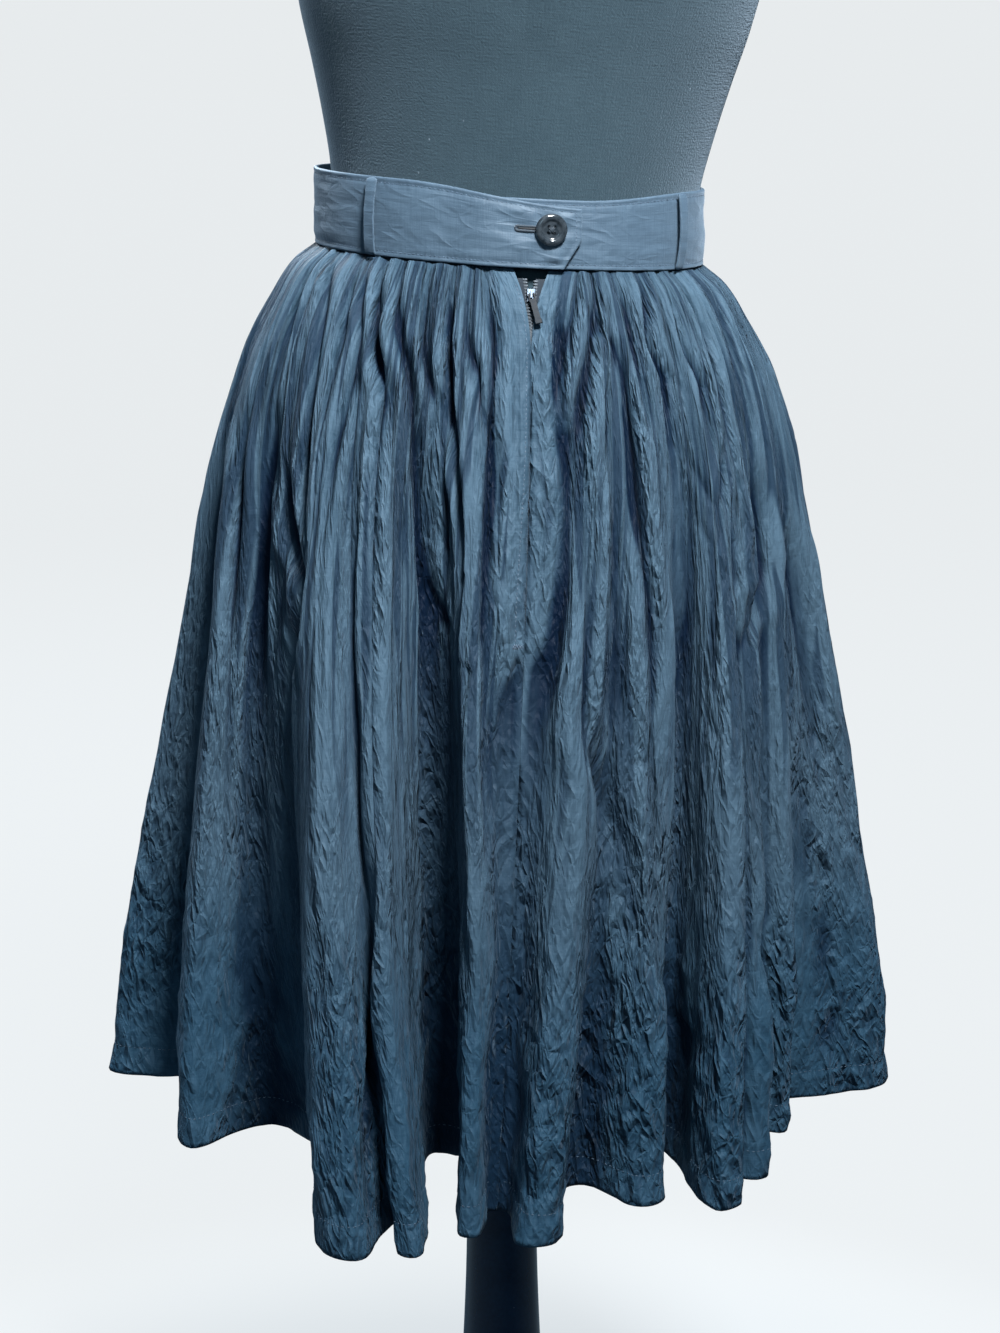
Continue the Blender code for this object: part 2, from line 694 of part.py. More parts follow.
def dress_form(collection):
    """The torso: soft ellipses whose middles lean to one side, closed at both ends."""
    heights = column(FORM, FORM_COLUMNS, "height")[:, None]
    degrees = np.linspace(0.0, 360.0, FORM_SIDES, endpoint=False)[None, :]
    half_width, front, back = form_section(heights)
    radius = ellipse_radius(degrees, half_width, front, back)
    angle = np.radians(degrees)
    x = radius * np.sin(angle)
    y = -radius * np.cos(angle)
    z = heights - x * math.tan(FORM_LEAN) * between(0.80, 0.90, heights)
    points = np.stack(np.broadcast_arrays(x + form_centre(heights), y, z), axis=-1)
    mesh = bpy.data.meshes.new("dress_form")
    body = bmesh.new()
    rings = [[body.verts.new(point) for point in ring] for ring in points.tolist()]
    for low, high in zip(rings, rings[1:]):
        for first in range(FORM_SIDES):
            second = (first + 1) % FORM_SIDES
            body.faces.new((low[first], low[second], high[second], high[first]))
    body.faces.new(rings[0][::-1])
    body.faces.new(rings[-1])
    bmesh.ops.recalc_face_normals(body, faces=body.faces)
    body.to_mesh(mesh)
    body.free()
    mesh.shade_smooth()
    mesh.set_sharp_from_angle(angle=math.radians(50))
    return add_object("dress_form", mesh, "form_cloth", collection)


def neck_cap(collection):
    """A turned cap on the neck, tilted with the form."""
    top = FORM[-1][0]
    profile = (
        (0.0120, 0.0300),
        (0.0170, 0.0265),
        (0.0180, 0.0210),
        (0.0120, 0.0150),
        (0.0420, 0.0110),
        (0.0540, 0.0080),
        (0.0560, 0.0040),
        (0.0540, 0.0),
    )
    obj = add_object("neck_cap", turned_mesh("neck_cap", profile, 24), "stand_lacquer", collection)
    obj.location = (form_centre(top), 0.0, top + TOUCH_GAP)
    obj.rotation_euler = (0.0, FORM_LEAN, 0.0)
    return obj


def build():
    clear_scene()
    skirt = new_collection("full_skirt_on_form")
    cutters = new_collection("helpers", helper=True)
    skirt_panel("skirt_front_right", 0.0, 0.25, skirt)
    skirt_panel("skirt_back", 0.25, 0.75, skirt)
    skirt_panel("skirt_front_left", 0.75, 1.0, skirt)
    zip_tape("zip_tape_right", 1, skirt)
    zip_tape("zip_tape_left", -1, skirt)
    waistband(skirt)
    for number, degrees in enumerate(LOOP_ANGLES, 1):
        belt_loop(f"belt_loop_{number}", degrees, skirt)
    button(skirt, cutters)
    frame = slider_frame()
    zip_slider(frame, skirt, cutters)
    zip_pull(frame, skirt, cutters)
    dress_form(skirt)
    neck_cap(skirt)
    add_object("pole", turned_mesh("pole", POLE_PROFILE, 24), "stand_lacquer", skirt)
    add_object("base", turned_mesh("base", BASE_PROFILE, 40), "stand_lacquer", skirt)


build()
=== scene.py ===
"""How a gathered full skirt of crumpled silk looks on its dress form.

Metres, +Z up, the wearer faces -Y, the floor is z = 0. A place on the skirt is
(turn, fall): turn is 0 at the centre front seam and grows to 1 all the way
round towards +X, and fall is 0 at the waist seam and 1 at the hem. A place on
the waistband is (degrees, height): degrees from the front towards +X, and
height 0 at the waist seam and 1 at the band's top edge.
"""

import math

import bmesh
import bpy
import numpy as np
from mathutils import Matrix, Vector


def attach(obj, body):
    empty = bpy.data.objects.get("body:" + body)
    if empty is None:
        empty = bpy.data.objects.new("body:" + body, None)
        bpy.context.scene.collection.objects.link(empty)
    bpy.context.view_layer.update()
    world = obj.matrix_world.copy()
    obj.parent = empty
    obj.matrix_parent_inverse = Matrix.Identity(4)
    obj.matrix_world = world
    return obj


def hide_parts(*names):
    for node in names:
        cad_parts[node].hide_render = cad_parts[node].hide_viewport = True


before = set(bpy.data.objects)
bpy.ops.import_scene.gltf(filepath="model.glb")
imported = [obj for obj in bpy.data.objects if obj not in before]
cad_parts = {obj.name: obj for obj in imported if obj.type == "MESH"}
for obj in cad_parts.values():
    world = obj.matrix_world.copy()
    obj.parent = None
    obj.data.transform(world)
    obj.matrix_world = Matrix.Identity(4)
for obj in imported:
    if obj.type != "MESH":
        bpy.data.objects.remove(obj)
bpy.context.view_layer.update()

# The solid's sizes, as the cloth is laid on the same form
SEAM_HEIGHT = 1.0135
HEM_HEIGHT = 0.4695
BAND_HEIGHT = 0.0455
CENTRE_FRONT = 7.0
WAIST_LEAN = math.radians(3.3)
HEM_LEAN = math.radians(1.6)
WAIST_SHIFT = 0.0045
SEAM_DROP = 0.0009
GATHERS = 72
GATHER_DEPTH = 0.0027
FLAT_FRONT = 0.048
FLAT_FRONT_REACH = 0.008

# The cloth as it was cut: once round at the hem, and from seam to hem
CLOTH_WIDTH = 3.53
CLOTH_DROP = 0.575
CLOTH_WALL = 0.0007
DEEPEST_CREASE = 0.0105
PANEL_COLUMNS = 258
PANEL_ROWS = 186

OUTLINE_COLUMNS = ("fall", "half_width", "front", "back")
OUTLINE = (
    (0.00, 0.1174, 0.0958, 0.0958),
    (0.02, 0.1315, 0.1020, 0.1020),
    (0.06, 0.1455, 0.1125, 0.1115),
    (0.12, 0.1625, 0.1265, 0.1235),
    (0.20, 0.1775, 0.1440, 0.1385),
    (0.30, 0.1900, 0.1620, 0.1550),
    (0.40, 0.2005, 0.1780, 0.1700),
    (0.50, 0.2115, 0.1930, 0.1850),
    (0.62, 0.2245, 0.2100, 0.2020),
    (0.75, 0.2380, 0.2280, 0.2190),
    (0.88, 0.2490, 0.2460, 0.2360),
    (1.00, 0.2560, 0.2620, 0.2520),
)
FOLD_COLUMNS = (
    "crest_at",
    "crest_radius",
    "crest_width",
    "valley_at",
    "valley_radius",
    "valley_width",
)
HEM_FOLDS = (
    (5.0, 0.236, 4.5, 15.5, 0.166, 4.0),
    (26.0, 0.200, 5.0, 40.0, 0.142, 5.0),
    (36.5, 0.228, 4.5, 43.5, 0.202, 2.0),
    (48.5, 0.213, 3.0, 61.0, 0.166, 5.0),
    (68.0, 0.195, 3.0, 75.0, 0.165, 3.0),
    (93.0, 0.257, 5.0, 101.0, 0.170, 5.0),
    (111.0, 0.247, 5.0, 118.5, 0.166, 5.0),
    (128.5, 0.238, 6.0, 137.0, 0.150, 6.0),
    (146.0, 0.252, 5.0, 155.0, 0.165, 4.0),
    (164.0, 0.240, 6.0, 172.5, 0.142, 5.0),
    (184.0, 0.250, 7.0, 195.0, 0.170, 6.0),
    (207.5, 0.237, 6.0, 218.0, 0.160, 6.0),
    (231.0, 0.250, 6.0, 241.5, 0.176, 5.0),
    (252.0, 0.243, 5.0, 260.5, 0.176, 5.0),
    (270.0, 0.258, 4.0, 277.5, 0.185, 5.0),
    (300.0, 0.228, 5.0, 309.0, 0.168, 18.0),
    (340.5, 0.272, 4.5, 344.4, 0.222, 1.4),
    (348.0, 0.259, 2.5, 345.5, 0.126, 11.0),
    (355.0, 0.229, 2.2, 359.2, 0.196, 3.6),
)
QUARTER_ROWS = (5, 9, 14, 18)

# The zip: how far its top stands open, its tapes, and where its slider sits
ZIP_LENGTH = 0.200
OPEN_LEFT = 0.0098
OPEN_RIGHT = 0.0110
OPEN_FALL = 0.090
OPEN_CURVE = 2.2
OPEN_REACH = 0.030
TAPE_SHOWS = 0.62
TAPE_BEHIND = 0.0018
TAPE_WALL = 0.0006
TOOTH_PITCH = 0.0019

# The waistband, its lapped tab and its loops
BAND_HALF_WIDTH = 0.1186
BAND_DEPTH = 0.0970
BAND_WALL = 0.0024
BAND_MEAN_RADIUS = 0.1080
STITCH_INSET = 0.0032
LAP_RISE = 0.0029
TAB_CURL = 0.0014
UNDERLAP_AT = -3.0
TAB_AT = 383.6
TAB_CUT = 0.0095
TAB_CUT_HEIGHT = 0.45
LAP_DIP = 0.0105
UNDER_DIP = 0.0060
LAP_FROM = 338.0
LAP_TO = 352.0
LOOP_ANGLES = (61.5, 128.0, 187.0, 246.0, 312.5)
LOOP_WIDTH = 0.0070
LOOP_WALL = 0.0016
LOOP_STAND = 0.0030
BUTTON_AT = 13.4
BUTTON_DIAMETER = 0.0185
BUTTON_THICKNESS = 0.0032
BUTTON_HOLE = 0.0019
BUTTON_HOLE_PITCH = 0.0034
BUTTONHOLE_LENGTH = 0.0200
BUTTONHOLE_BACK = 0.0092
PLACKET_FALL = 0.385
HEM_TURNED = 0.019

# The crumple's cells, layer by layer: width and height in metres, and a seed
UPRIGHT_CELLS = (0.017, 0.110, 11)
SLANTED_CELLS = (0.030, 0.075, 19)
FACET_CELLS = (0.030, 0.036, 23)
SMALL_CELLS = (0.016, 0.013, 31)

# Sewn grooves: depth and half width
HEM_GROOVE = (0.0008, 0.0030)
SEAM_GROOVE = (0.0009, 0.0022)
FRONT_GROOVE = (0.0014, 0.0030)
BAND_GROOVE = (0.00042, 0.0009)

# Lines of stitches: from one to the next, the share that shows, and the thread's radius
EDGE_STITCH = (0.0027, 0.72, 0.00024)
PLACKET_STITCH = (0.0027, 0.72, 0.00026)
HEM_STITCH = (0.0034, 0.70, 0.00028)
SATIN_RADIUS = 0.00042
BUTTON_THREAD_RADIUS = 0.00040

# The panels of cloth: piece, the solid it stands for, and its width at the hem
PANELS = (
    ("skirt_front_right_cloth", "skirt_front_right", 0.843),
    ("skirt_back_right_cloth", "skirt_back", 0.857),
    ("skirt_back_left_cloth", "skirt_back", 1.031),
    ("skirt_front_left_cloth", "skirt_front_left", 0.799),
)

# The solids that keep their own shape, and their finishes
CAD_FINISHES = (
    ("zip_slider", "zip_metal"),
    ("zip_pull", "pull_metal"),
    ("neck_cap", "stand_lacquer"),
)

# The studio
FLOOR_REACH = 40.0
PAPER_GLOW = (0.800, 0.831, 0.847)
CAMERA_PLACE = (-0.0012, -1.521, 1.146)
CAMERA_TILT = 14.55
CAMERA_LENS = 66.4

FORM_SHIFT = 0.0070
FORM_COLUMNS = ("height", "half_width", "front", "back")
FORM = (
    (0.792, 0.1400, 0.0980, 0.1060),
    (0.800, 0.1490, 0.1050, 0.1140),
    (0.850, 0.1550, 0.1080, 0.1200),
    (0.900, 0.1510, 0.1050, 0.1160),
    (0.950, 0.1370, 0.0990, 0.1040),
    (0.990, 0.1205, 0.0935, 0.0940),
    (1.012, 0.1130, 0.0915, 0.0915),
    (1.036, 0.1100, 0.0905, 0.0905),
    (1.059, 0.1122, 0.0920, 0.0915),
    (1.090, 0.1184, 0.0960, 0.0945),
    (1.120, 0.1258, 0.1015, 0.0985),
    (1.155, 0.1352, 0.1105, 0.1035),
    (1.215, 0.1460, 0.1240, 0.1070),
    (1.275, 0.1500, 0.1150, 0.1080),
    (1.340, 0.1560, 0.0980, 0.1040),
    (1.385, 0.1530, 0.0860, 0.0940),
    (1.418, 0.1350, 0.0760, 0.0830),
    (1.440, 0.1020, 0.0670, 0.0720),
    (1.458, 0.0690, 0.0590, 0.0620),
    (1.480, 0.0570, 0.0540, 0.0560),
    (1.522, 0.0545, 0.0520, 0.0540),
)
POLE_PROFILE = (
    (0.0225, 0.7917),
    (0.0226, 0.5000),
    (0.0233, 0.3900),
    (0.0240, 0.3400),
    (0.0262, 0.2800),
    (0.0305, 0.2150),
    (0.0380, 0.1500),
    (0.0500, 0.0950),
    (0.0680, 0.0560),
    (0.0900, 0.0340),
    (0.0980, 0.0253),
)
BASE_PROFILE = (
    (0.1700, 0.0250),
    (0.1765, 0.0225),
    (0.1790, 0.0170),
    (0.1790, 0.0070),
    (0.1770, 0.0020),
    (0.1740, 0.0000),
)


def between(low, high, value):
    """0 below low, 1 above high, and a soft step from one to the other."""
    share = np.clip((value - low) / (high - low), 0.0, 1.0)
    return share * share * (3.0 - 2.0 * share)


def bell(value, width):
    """1 at 0, and down to nearly nothing at twice the width on either side."""
    return np.exp(-((value / width) ** 2))


def wave(waves, phase=0.0):
    """A sine of a number of whole waves."""
    return np.sin(2 * np.pi * waves + phase)


def rounded_in(share):
    """A quarter circle: 0 at 0 with an upright start, and 1 from 1 onwards."""
    return np.sqrt(np.clip(1 - np.clip(1 - share, 0, 1) ** 2, 0, 1))


def stacked(*parts):
    """Coordinates of shapes that fit together, as the last axis of one array."""
    return np.stack(np.broadcast_arrays(*parts), axis=-1)


def unit(vectors):
    """Vectors brought to a length of 1."""
    return vectors / np.linalg.norm(vectors, axis=-1, keepdims=True)


def length_along(path):
    """The length of a path from its start to each of its points."""
    return np.concatenate([[0.0], np.cumsum(np.linalg.norm(np.diff(path, axis=0), axis=1))])


def read_along(values, length, at):
    """Points or directions given at some lengths, read at others."""
    return np.stack([np.interp(at, length, values[:, axis]) for axis in range(3)], axis=-1)


def column(rows, names, name):
    """One named column of a table."""
    return np.array([row[names.index(name)] for row in rows])


def smooth(value, at, heights):
    """A smooth curve through the rows of a table, which never overshoots them."""
    value = np.asarray(value, float)
    rise = np.diff(heights) / np.diff(at)
    slope = np.zeros(len(at))
    same_way = rise[:-1] * rise[1:] > 0
    mean = np.where(same_way, 2 * rise[:-1] * rise[1:] / (rise[:-1] + rise[1:] + 1e-12), 0)
    slope[1:-1] = mean
    slope[0] = rise[0]
    slope[-1] = rise[-1]
    row = np.clip(np.searchsorted(at, value, side="right") - 1, 0, len(at) - 2)
    span = at[row + 1] - at[row]
    share = np.clip((value - at[row]) / span, 0.0, 1.0)
    start = (1 + 2 * share) * (1 - share) ** 2 * heights[row]
    end = share**2 * (3 - 2 * share) * heights[row + 1]
    bend = share * (1 - share) ** 2 * slope[row] - share**2 * (1 - share) * slope[row + 1]
    return start + end + bend * span


def scatter(across, down, seed):
    """A number from 0 to 1 for each whole-numbered cell: the fraction of a large sine."""
    value = np.sin(across * 127.1 + down * 311.7 + seed * 74.7) * 43758.5453
    return value - np.floor(value)


def soft_noise(across, down, seed):
    """Numbers from -1 to 1 that change softly: each cell's corners, blended."""
    left, top = np.floor(across), np.floor(down)
    a, d = across - left, down - top
    a, d = a * a * (3 - 2 * a), d * d * (3 - 2 * d)
    upper = scatter(left, top, seed) * (1 - a) + scatter(left + 1, top, seed) * a
    lower = scatter(left, top + 1, seed) * (1 - a) + scatter(left + 1, top + 1, seed) * a
    return 2.0 * (upper * (1 - d) + lower * d) - 1.0


def nearest_point(across, down, seed):
    """How far each place is from the nearest of points strewn one to a cell."""
    left, top = np.floor(across), np.floor(down)
    nearest = np.full(np.broadcast(across, down).shape, 9.0)
    for a in (-1, 0, 1):
        for d in (-1, 0, 1):
            point_a = left + a + scatter(left + a, top + d, seed)
            point_d = top + d + scatter(left + a, top + d, seed + 17)
            nearest = np.minimum(nearest, np.hypot(point_a - across, point_d - down))
    return nearest


def ellipse_radius(degrees, half_width, front, back):
    """How far an ellipse reaches from its middle at an angle from the front."""
    angle = np.radians(degrees)
    depth = np.where(np.cos(angle) > 0, front, back)
    return 1.0 / np.hypot(np.sin(angle) / half_width, np.cos(angle) / depth)


def outline_radius(degrees, fall):
    """The skirt's reach at an angle and a fall: an ellipse of the outline's smooth sizes."""
    falls = column(OUTLINE, OUTLINE_COLUMNS, "fall")
    sizes = [
        smooth(fall, falls, column(OUTLINE, OUTLINE_COLUMNS, name))
        for name in OUTLINE_COLUMNS[1:]
    ]
    return ellipse_radius(degrees, *sizes)


def hem_corners():
    """The corners of the hem's path: both ends of each crest and of each valley."""
    folds = [dict(zip(FOLD_COLUMNS, row)) for row in HEM_FOLDS]
    last = folds[-1]
    start = (last["valley_at"] - 360.0, last["valley_radius"])
    corners = [start, (start[0] + last["valley_width"] / 2, start[1])]
    middles = [0]
    for number, fold in enumerate(folds):
        for place in ("crest", "valley"):
            at, radius = fold[f"{place}_at"], fold[f"{place}_radius"]
            half = fold[f"{place}_width"] / 2
            corners.append((at - half, radius))
            if place == "valley" and number in QUARTER_ROWS:
                middles.append(len(corners))
                corners.append((at, radius))
            corners.append((at + half, radius))
    corners.pop()
    return np.array(corners), middles


def rounded_path(corners, steps):
    """A soft closed path through the corners, which are (degrees, radius) pairs."""
    angle = np.radians(corners[:, 0])
    plane = np.stack([corners[:, 1] * np.sin(angle), -corners[:, 1] * np.cos(angle)], axis=1)
    around = np.concatenate([plane[-2:-1], plane, plane[1:2]])
    knots = np.cumsum(np.sqrt(np.linalg.norm(np.diff(around, axis=0), axis=1)))
    knots = np.concatenate([[0.0], knots])
    share = np.linspace(0.0, 1.0, steps, endpoint=False)
    runs = []
    for first in range(len(plane) - 1):
        p0, p1, p2, p3 = around[first : first + 4]
        k0, k1, k2, k3 = knots[first : first + 4]
        at = (k1 + (k2 - k1) * share)[:, None]
        a1 = (k1 - at) / (k1 - k0) * p0 + (at - k0) / (k1 - k0) * p1
        a2 = (k2 - at) / (k2 - k1) * p1 + (at - k1) / (k2 - k1) * p2
        a3 = (k3 - at) / (k3 - k2) * p2 + (at - k2) / (k3 - k2) * p3
        b1 = (k2 - at) / (k2 - k0) * a1 + (at - k0) / (k2 - k0) * a2
        b2 = (k3 - at) / (k3 - k1) * a2 + (at - k1) / (k3 - k1) * a3
        runs.append((k2 - at) / (k2 - k1) * b1 + (at - k1) / (k2 - k1) * b2)
    return np.concatenate(runs + [plane[-1:]])


def hem_table(steps=16):
    """(turn, degrees, radius) along the hem, even by cloth length in each quarter."""
    corners, middles = hem_corners()
    path = rounded_path(corners, steps)
    length = length_along(path)
    seams = length[np.array(middles) * steps]
    turn = np.interp(length, seams, np.linspace(0.0, 1.0, len(seams)))
    degrees = np.degrees(np.unwrap(np.arctan2(path[:, 0], -path[:, 1])))
    degrees += 360.0 * round((corners[0, 0] - degrees[0]) / 360.0)
    return turn, degrees, np.hypot(path[:, 0], path[:, 1])


HEM = hem_table()


def away_from_front(turn):
    """Turns from the centre front seam: below 0 on its left, above 0 on its right."""
    return (turn + 0.5) % 1.0 - 0.5


def waist_degrees(turn):
    """Where each turn of cloth meets the band: flat at the zip, gathered elsewhere."""
    away = away_from_front(turn)
    spread = 0.5 * np.tanh(away / FLAT_FRONT_REACH) - away
    uneven = 0.0030 * wave(5 * turn) + 0.0016 * wave(13 * turn)
    uneven = uneven * between(0.01, 0.04, abs(away))
    return CENTRE_FRONT + 360.0 * (turn + FLAT_FRONT * spread + uneven)


def gather_depth(turn, fall):
    """Gathers of uneven width and length, with round ridges and narrow valleys.

    A ridge is the root of a cosine's size on a place that swings to and fro, and
    its depth falls off down the cloth at a rate that differs along the waist.
    """
    away = abs(away_from_front(turn))
    swing = 0.24 * wave(7 * turn, 0.4) + 0.16 * wave(17 * turn, 2.1) + 0.10 * wave(31 * turn, 4.0)
    ridge = 2.0 * np.abs(np.cos(np.pi * (GATHERS * turn + swing))) ** 0.65 - 1.15
    small = np.abs(np.cos(np.pi * (2.13 * GATHERS * turn + 1.7 * swing))) ** 0.8 - 0.6
    ridge = ridge + 0.7 * small * np.exp(-fall / 0.045)
    length = 0.06 + 0.34 * (0.5 + 0.5 * wave(27 * turn + 0.6 * wave(5 * turn))) ** 1.5
    uneven = 0.84 + 0.26 * wave(11 * turn, 1.0) * wave(4 * turn)
    rise = 0.45 + 0.55 * between(0.0, 0.05, fall) + 0.55 * between(0.04, 0.12, fall)
    flat = between(0.004, 0.012, away)
    return GATHER_DEPTH * rise * np.exp(-fall / length) * uneven * flat * ridge


def opening(fall):
    """The zip's open top, from 1 at the band to 0 where it is closed."""
    return np.clip(1.0 - fall / OPEN_FALL, 0.0, 1.0) ** OPEN_CURVE


def placket_shift(turn, fall):
    """How far, along the waist, the open top of the zip pushes each front aside."""
    away = away_from_front(turn)
    width = np.where((away < 0) | (turn >= 1.0), -OPEN_LEFT, OPEN_RIGHT)
    near = 1.0 - between(0.0, OPEN_REACH, abs(away))
    return width * near * opening(fall)


def draped_point(turn, fall):
    """The skirt's middle surface before its creases.

    The angle goes from its place at the waist to its place on the hem. The
    radius is the outline's, less the hem's fold depth grown with the fall, and
    plus the gathers. The height runs evenly from the waist seam to the hem.
    """
    turn, fall = np.broadcast_arrays(np.asarray(turn, float), np.asarray(fall, float))
    hem_degrees = np.interp(turn, HEM[0], HEM[1])
    hem_radius = np.interp(turn, HEM[0], HEM[2])
    top_degrees = waist_degrees(turn)
    degrees = top_degrees + (hem_degrees - top_degrees) * fall**0.9
    depth = outline_radius(hem_degrees, 1.0) - hem_radius
    radius = outline_radius(degrees, fall) - depth * fall**1.25 + gather_depth(turn, fall)
    angle = np.radians(degrees) + placket_shift(turn, fall) / radius
    x = radius * np.sin(angle) + WAIST_SHIFT * (1.0 - fall)
    y = -radius * np.cos(angle)
    seam = SEAM_HEIGHT - SEAM_DROP - x * math.tan(WAIST_LEAN)
    hem = HEM_HEIGHT - x * math.tan(HEM_LEAN)
    return np.stack([x, y, seam + (hem - seam) * fall], axis=-1)


def draped_normal(turn, fall):
    """The direction straight out of the draped cloth, by steps on it.

    The steps pass over the gathers at the waist, and grow small towards the hem.
    """
    step = 4e-4 + 0.0068 * (1.0 - np.asarray(fall, float)) ** 2
    low, high = np.maximum(turn - step, 0.0), np.minimum(turn + step, 1.0)
    along = draped_point(high, fall) - draped_point(low, fall)
    drop = 4e-4
    down = draped_point(turn, fall + drop) - draped_point(turn, np.maximum(fall - drop, 0.0))
    out = np.cross(down, along)
    return unit(out)


# The front's main creases, listed as (depth, width, path): below 0 is a
# trough, the width is along the flat cloth, and the path is (turn, fall) down it
CREASES = (
    (-0.0040, 0.010, ((0.801, 0.028), (0.8067, 0.098))),
    (-0.0050, 0.010, ((0.82, 0.005), (0.8335, 0.05), (0.8385, 0.158), (0.838, 0.215))),
    (-0.0040, 0.009, ((0.8498, 0.013), (0.8575, 0.077))),
    (-0.0050, 0.010, ((0.8588, 0.013), (0.8725, 0.095), (0.8642, 0.215))),
    (-0.0080, 0.013, ((0.8755, 0.005), (0.888, 0.083), (0.9032, 0.145), (0.901, 0.225),
        (0.9002, 0.343), (0.8988, 0.542), (0.8738, 0.925))),
    (-0.0050, 0.010, ((0.9008, 0.003), (0.9075, 0.062), (0.9245, 0.125), (0.932, 0.182))),
    (-0.0050, 0.010, ((0.9283, 0.003), (0.9333, 0.088), (0.9475, 0.143))),
    (-0.0050, 0.010, ((0.949, 0.022), (0.956, 0.143), (0.972, 0.25))),
    (-0.0055, 0.010, ((0.9675, 0.058), (0.9815, 0.12), (0.9863, 0.165), (0.9903, 0.228))),
    (-0.0045, 0.009, ((0.9863, 0.02), (0.9888, 0.1), (0.9913, 0.155))),
    (-0.0035, 0.008, ((0.0, 0.015), (0.0047, 0.07), (0.003, 0.173))),
    (-0.0055, 0.010, ((0.0135, 0.01), (0.01, 0.07), (0.0035, 0.135), (0.0023, 0.2))),
    (-0.0060, 0.011, ((0.0333, 0.01), (0.0262, 0.07), (0.0155, 0.133), (0.0125, 0.198))),
    (-0.0060, 0.010, ((0.032, 0.05), (0.047, 0.077), (0.0513, 0.135), (0.051, 0.208))),
    (-0.0045, 0.009, ((0.0555, 0.015), (0.0615, 0.043), (0.0617, 0.092))),
    (-0.0050, 0.009, ((0.0833, 0.01), (0.0742, 0.07), (0.0828, 0.107))),
    (-0.0050, 0.010, ((0.1095, 0.01), (0.1082, 0.06), (0.1175, 0.118))),
    (-0.0050, 0.010, ((0.1305, 0.01), (0.1363, 0.052), (0.136, 0.095))),
    (-0.0040, 0.009, ((0.1705, 0.007), (0.16, 0.065))),
    (-0.0060, 0.014, ((0.7833, 0.168), (0.789, 0.315), (0.7903, 0.413))),
    (-0.0060, 0.014, ((0.8113, 0.16), (0.807, 0.253), (0.804, 0.365), (0.8017, 0.487))),
    (-0.0080, 0.016, ((0.819, 0.22), (0.8313, 0.297), (0.842, 0.36), (0.8255, 0.468),
        (0.824, 0.588))),
    (-0.0050, 0.012, ((0.8423, 0.152), (0.8425, 0.26), (0.8503, 0.33))),
    (-0.0050, 0.014, ((0.928, 0.14), (0.937, 0.225), (0.942, 0.323), (0.9453, 0.385),
        (0.9453, 0.573))),
    (-0.0040, 0.010, ((0.9457, 0.24), (0.9533, 0.295), (0.9745, 0.31))),
    (-0.0045, 0.012, ((0.9415, 0.315), (0.9523, 0.375), (0.9808, 0.405))),
    (-0.0045, 0.010, ((0.96, 0.138), (0.969, 0.22), (0.9743, 0.292))),
    (-0.0080, 0.016, ((0.9863, 0.133), (0.9885, 0.215), (0.9878, 0.31), (0.9893, 0.403),
        (0.9913, 0.542))),
    (-0.0060, 0.018, ((0.0, 0.37), (0.9982, 0.432), (0.9955, 0.51))),
    (-0.0080, 0.015, ((0.0187, 0.11), (0.009, 0.18), (0.0092, 0.295), (0.0065, 0.385),
        (0.0025, 0.47))),
    (-0.0070, 0.014, ((0.0195, 0.17), (0.0195, 0.292), (0.02, 0.39), (0.0225, 0.463),
        (0.0250, 0.520))),
    (-0.0060, 0.010, ((0.0485, 0.11), (0.0508, 0.18), (0.0518, 0.233), (0.0555, 0.297),
        (0.058, 0.352))),
    (-0.0060, 0.016, ((0.0585, 0.305), (0.0602, 0.398), (0.0593, 0.473), (0.061, 0.55))),
    (-0.0030, 0.008, ((0.0808, 0.173), (0.0963, 0.2), (0.1128, 0.24))),
    (-0.0030, 0.008, ((0.0882, 0.238), (0.11, 0.283))),
    (-0.0040, 0.010, ((0.1325, 0.155), (0.1175, 0.245))),
    (-0.0070, 0.022, ((0.1613, 0.21), (0.1588, 0.318), (0.1308, 0.41), (0.1313, 0.485),
        (0.1355, 0.568))),
    (-0.0080, 0.020, ((0.19, 0.268), (0.1988, 0.372), (0.2008, 0.448), (0.2015, 0.532),
        (0.2028, 0.585))),
    (-0.0035, 0.010, ((0.0818, 0.445), (0.101, 0.463), (0.1128, 0.503))),
    (-0.0060, 0.016, ((0.8043, 0.598), (0.8035, 0.703))),
    (-0.0060, 0.018, ((0.8227, 0.545), (0.817, 0.662), (0.8190, 0.720))),
    (-0.0060, 0.018, ((0.8585, 0.660), (0.8615, 0.718), (0.8613, 0.807))),
    (-0.0060, 0.018, ((0.9457, 0.527), (0.9435, 0.585), (0.9497, 0.69))),
    (-0.0050, 0.016, ((0.9800, 0.640), (0.9848, 0.760))),
    (-0.0060, 0.018, ((0.0185, 0.432), (0.0473, 0.6), (0.053, 0.682))),
    (-0.0080, 0.024, ((0.061, 0.443), (0.062, 0.748), (0.092, 0.85), (0.092, 0.973))),
    (-0.0060, 0.024, ((0.1325, 0.487), (0.1318, 0.677), (0.1648, 0.895))),
    (-0.0060, 0.020, ((0.1935, 0.555), (0.1953, 0.73))),
    (-0.0060, 0.020, ((0.1998, 0.745), (0.2003, 0.888))),
)


def behind(path):
    """A front crease's path carried round to the back, a little lower."""
    return [(0.512 - 0.97 * turn, 0.015 + 0.96 * fall) for turn, fall in path]


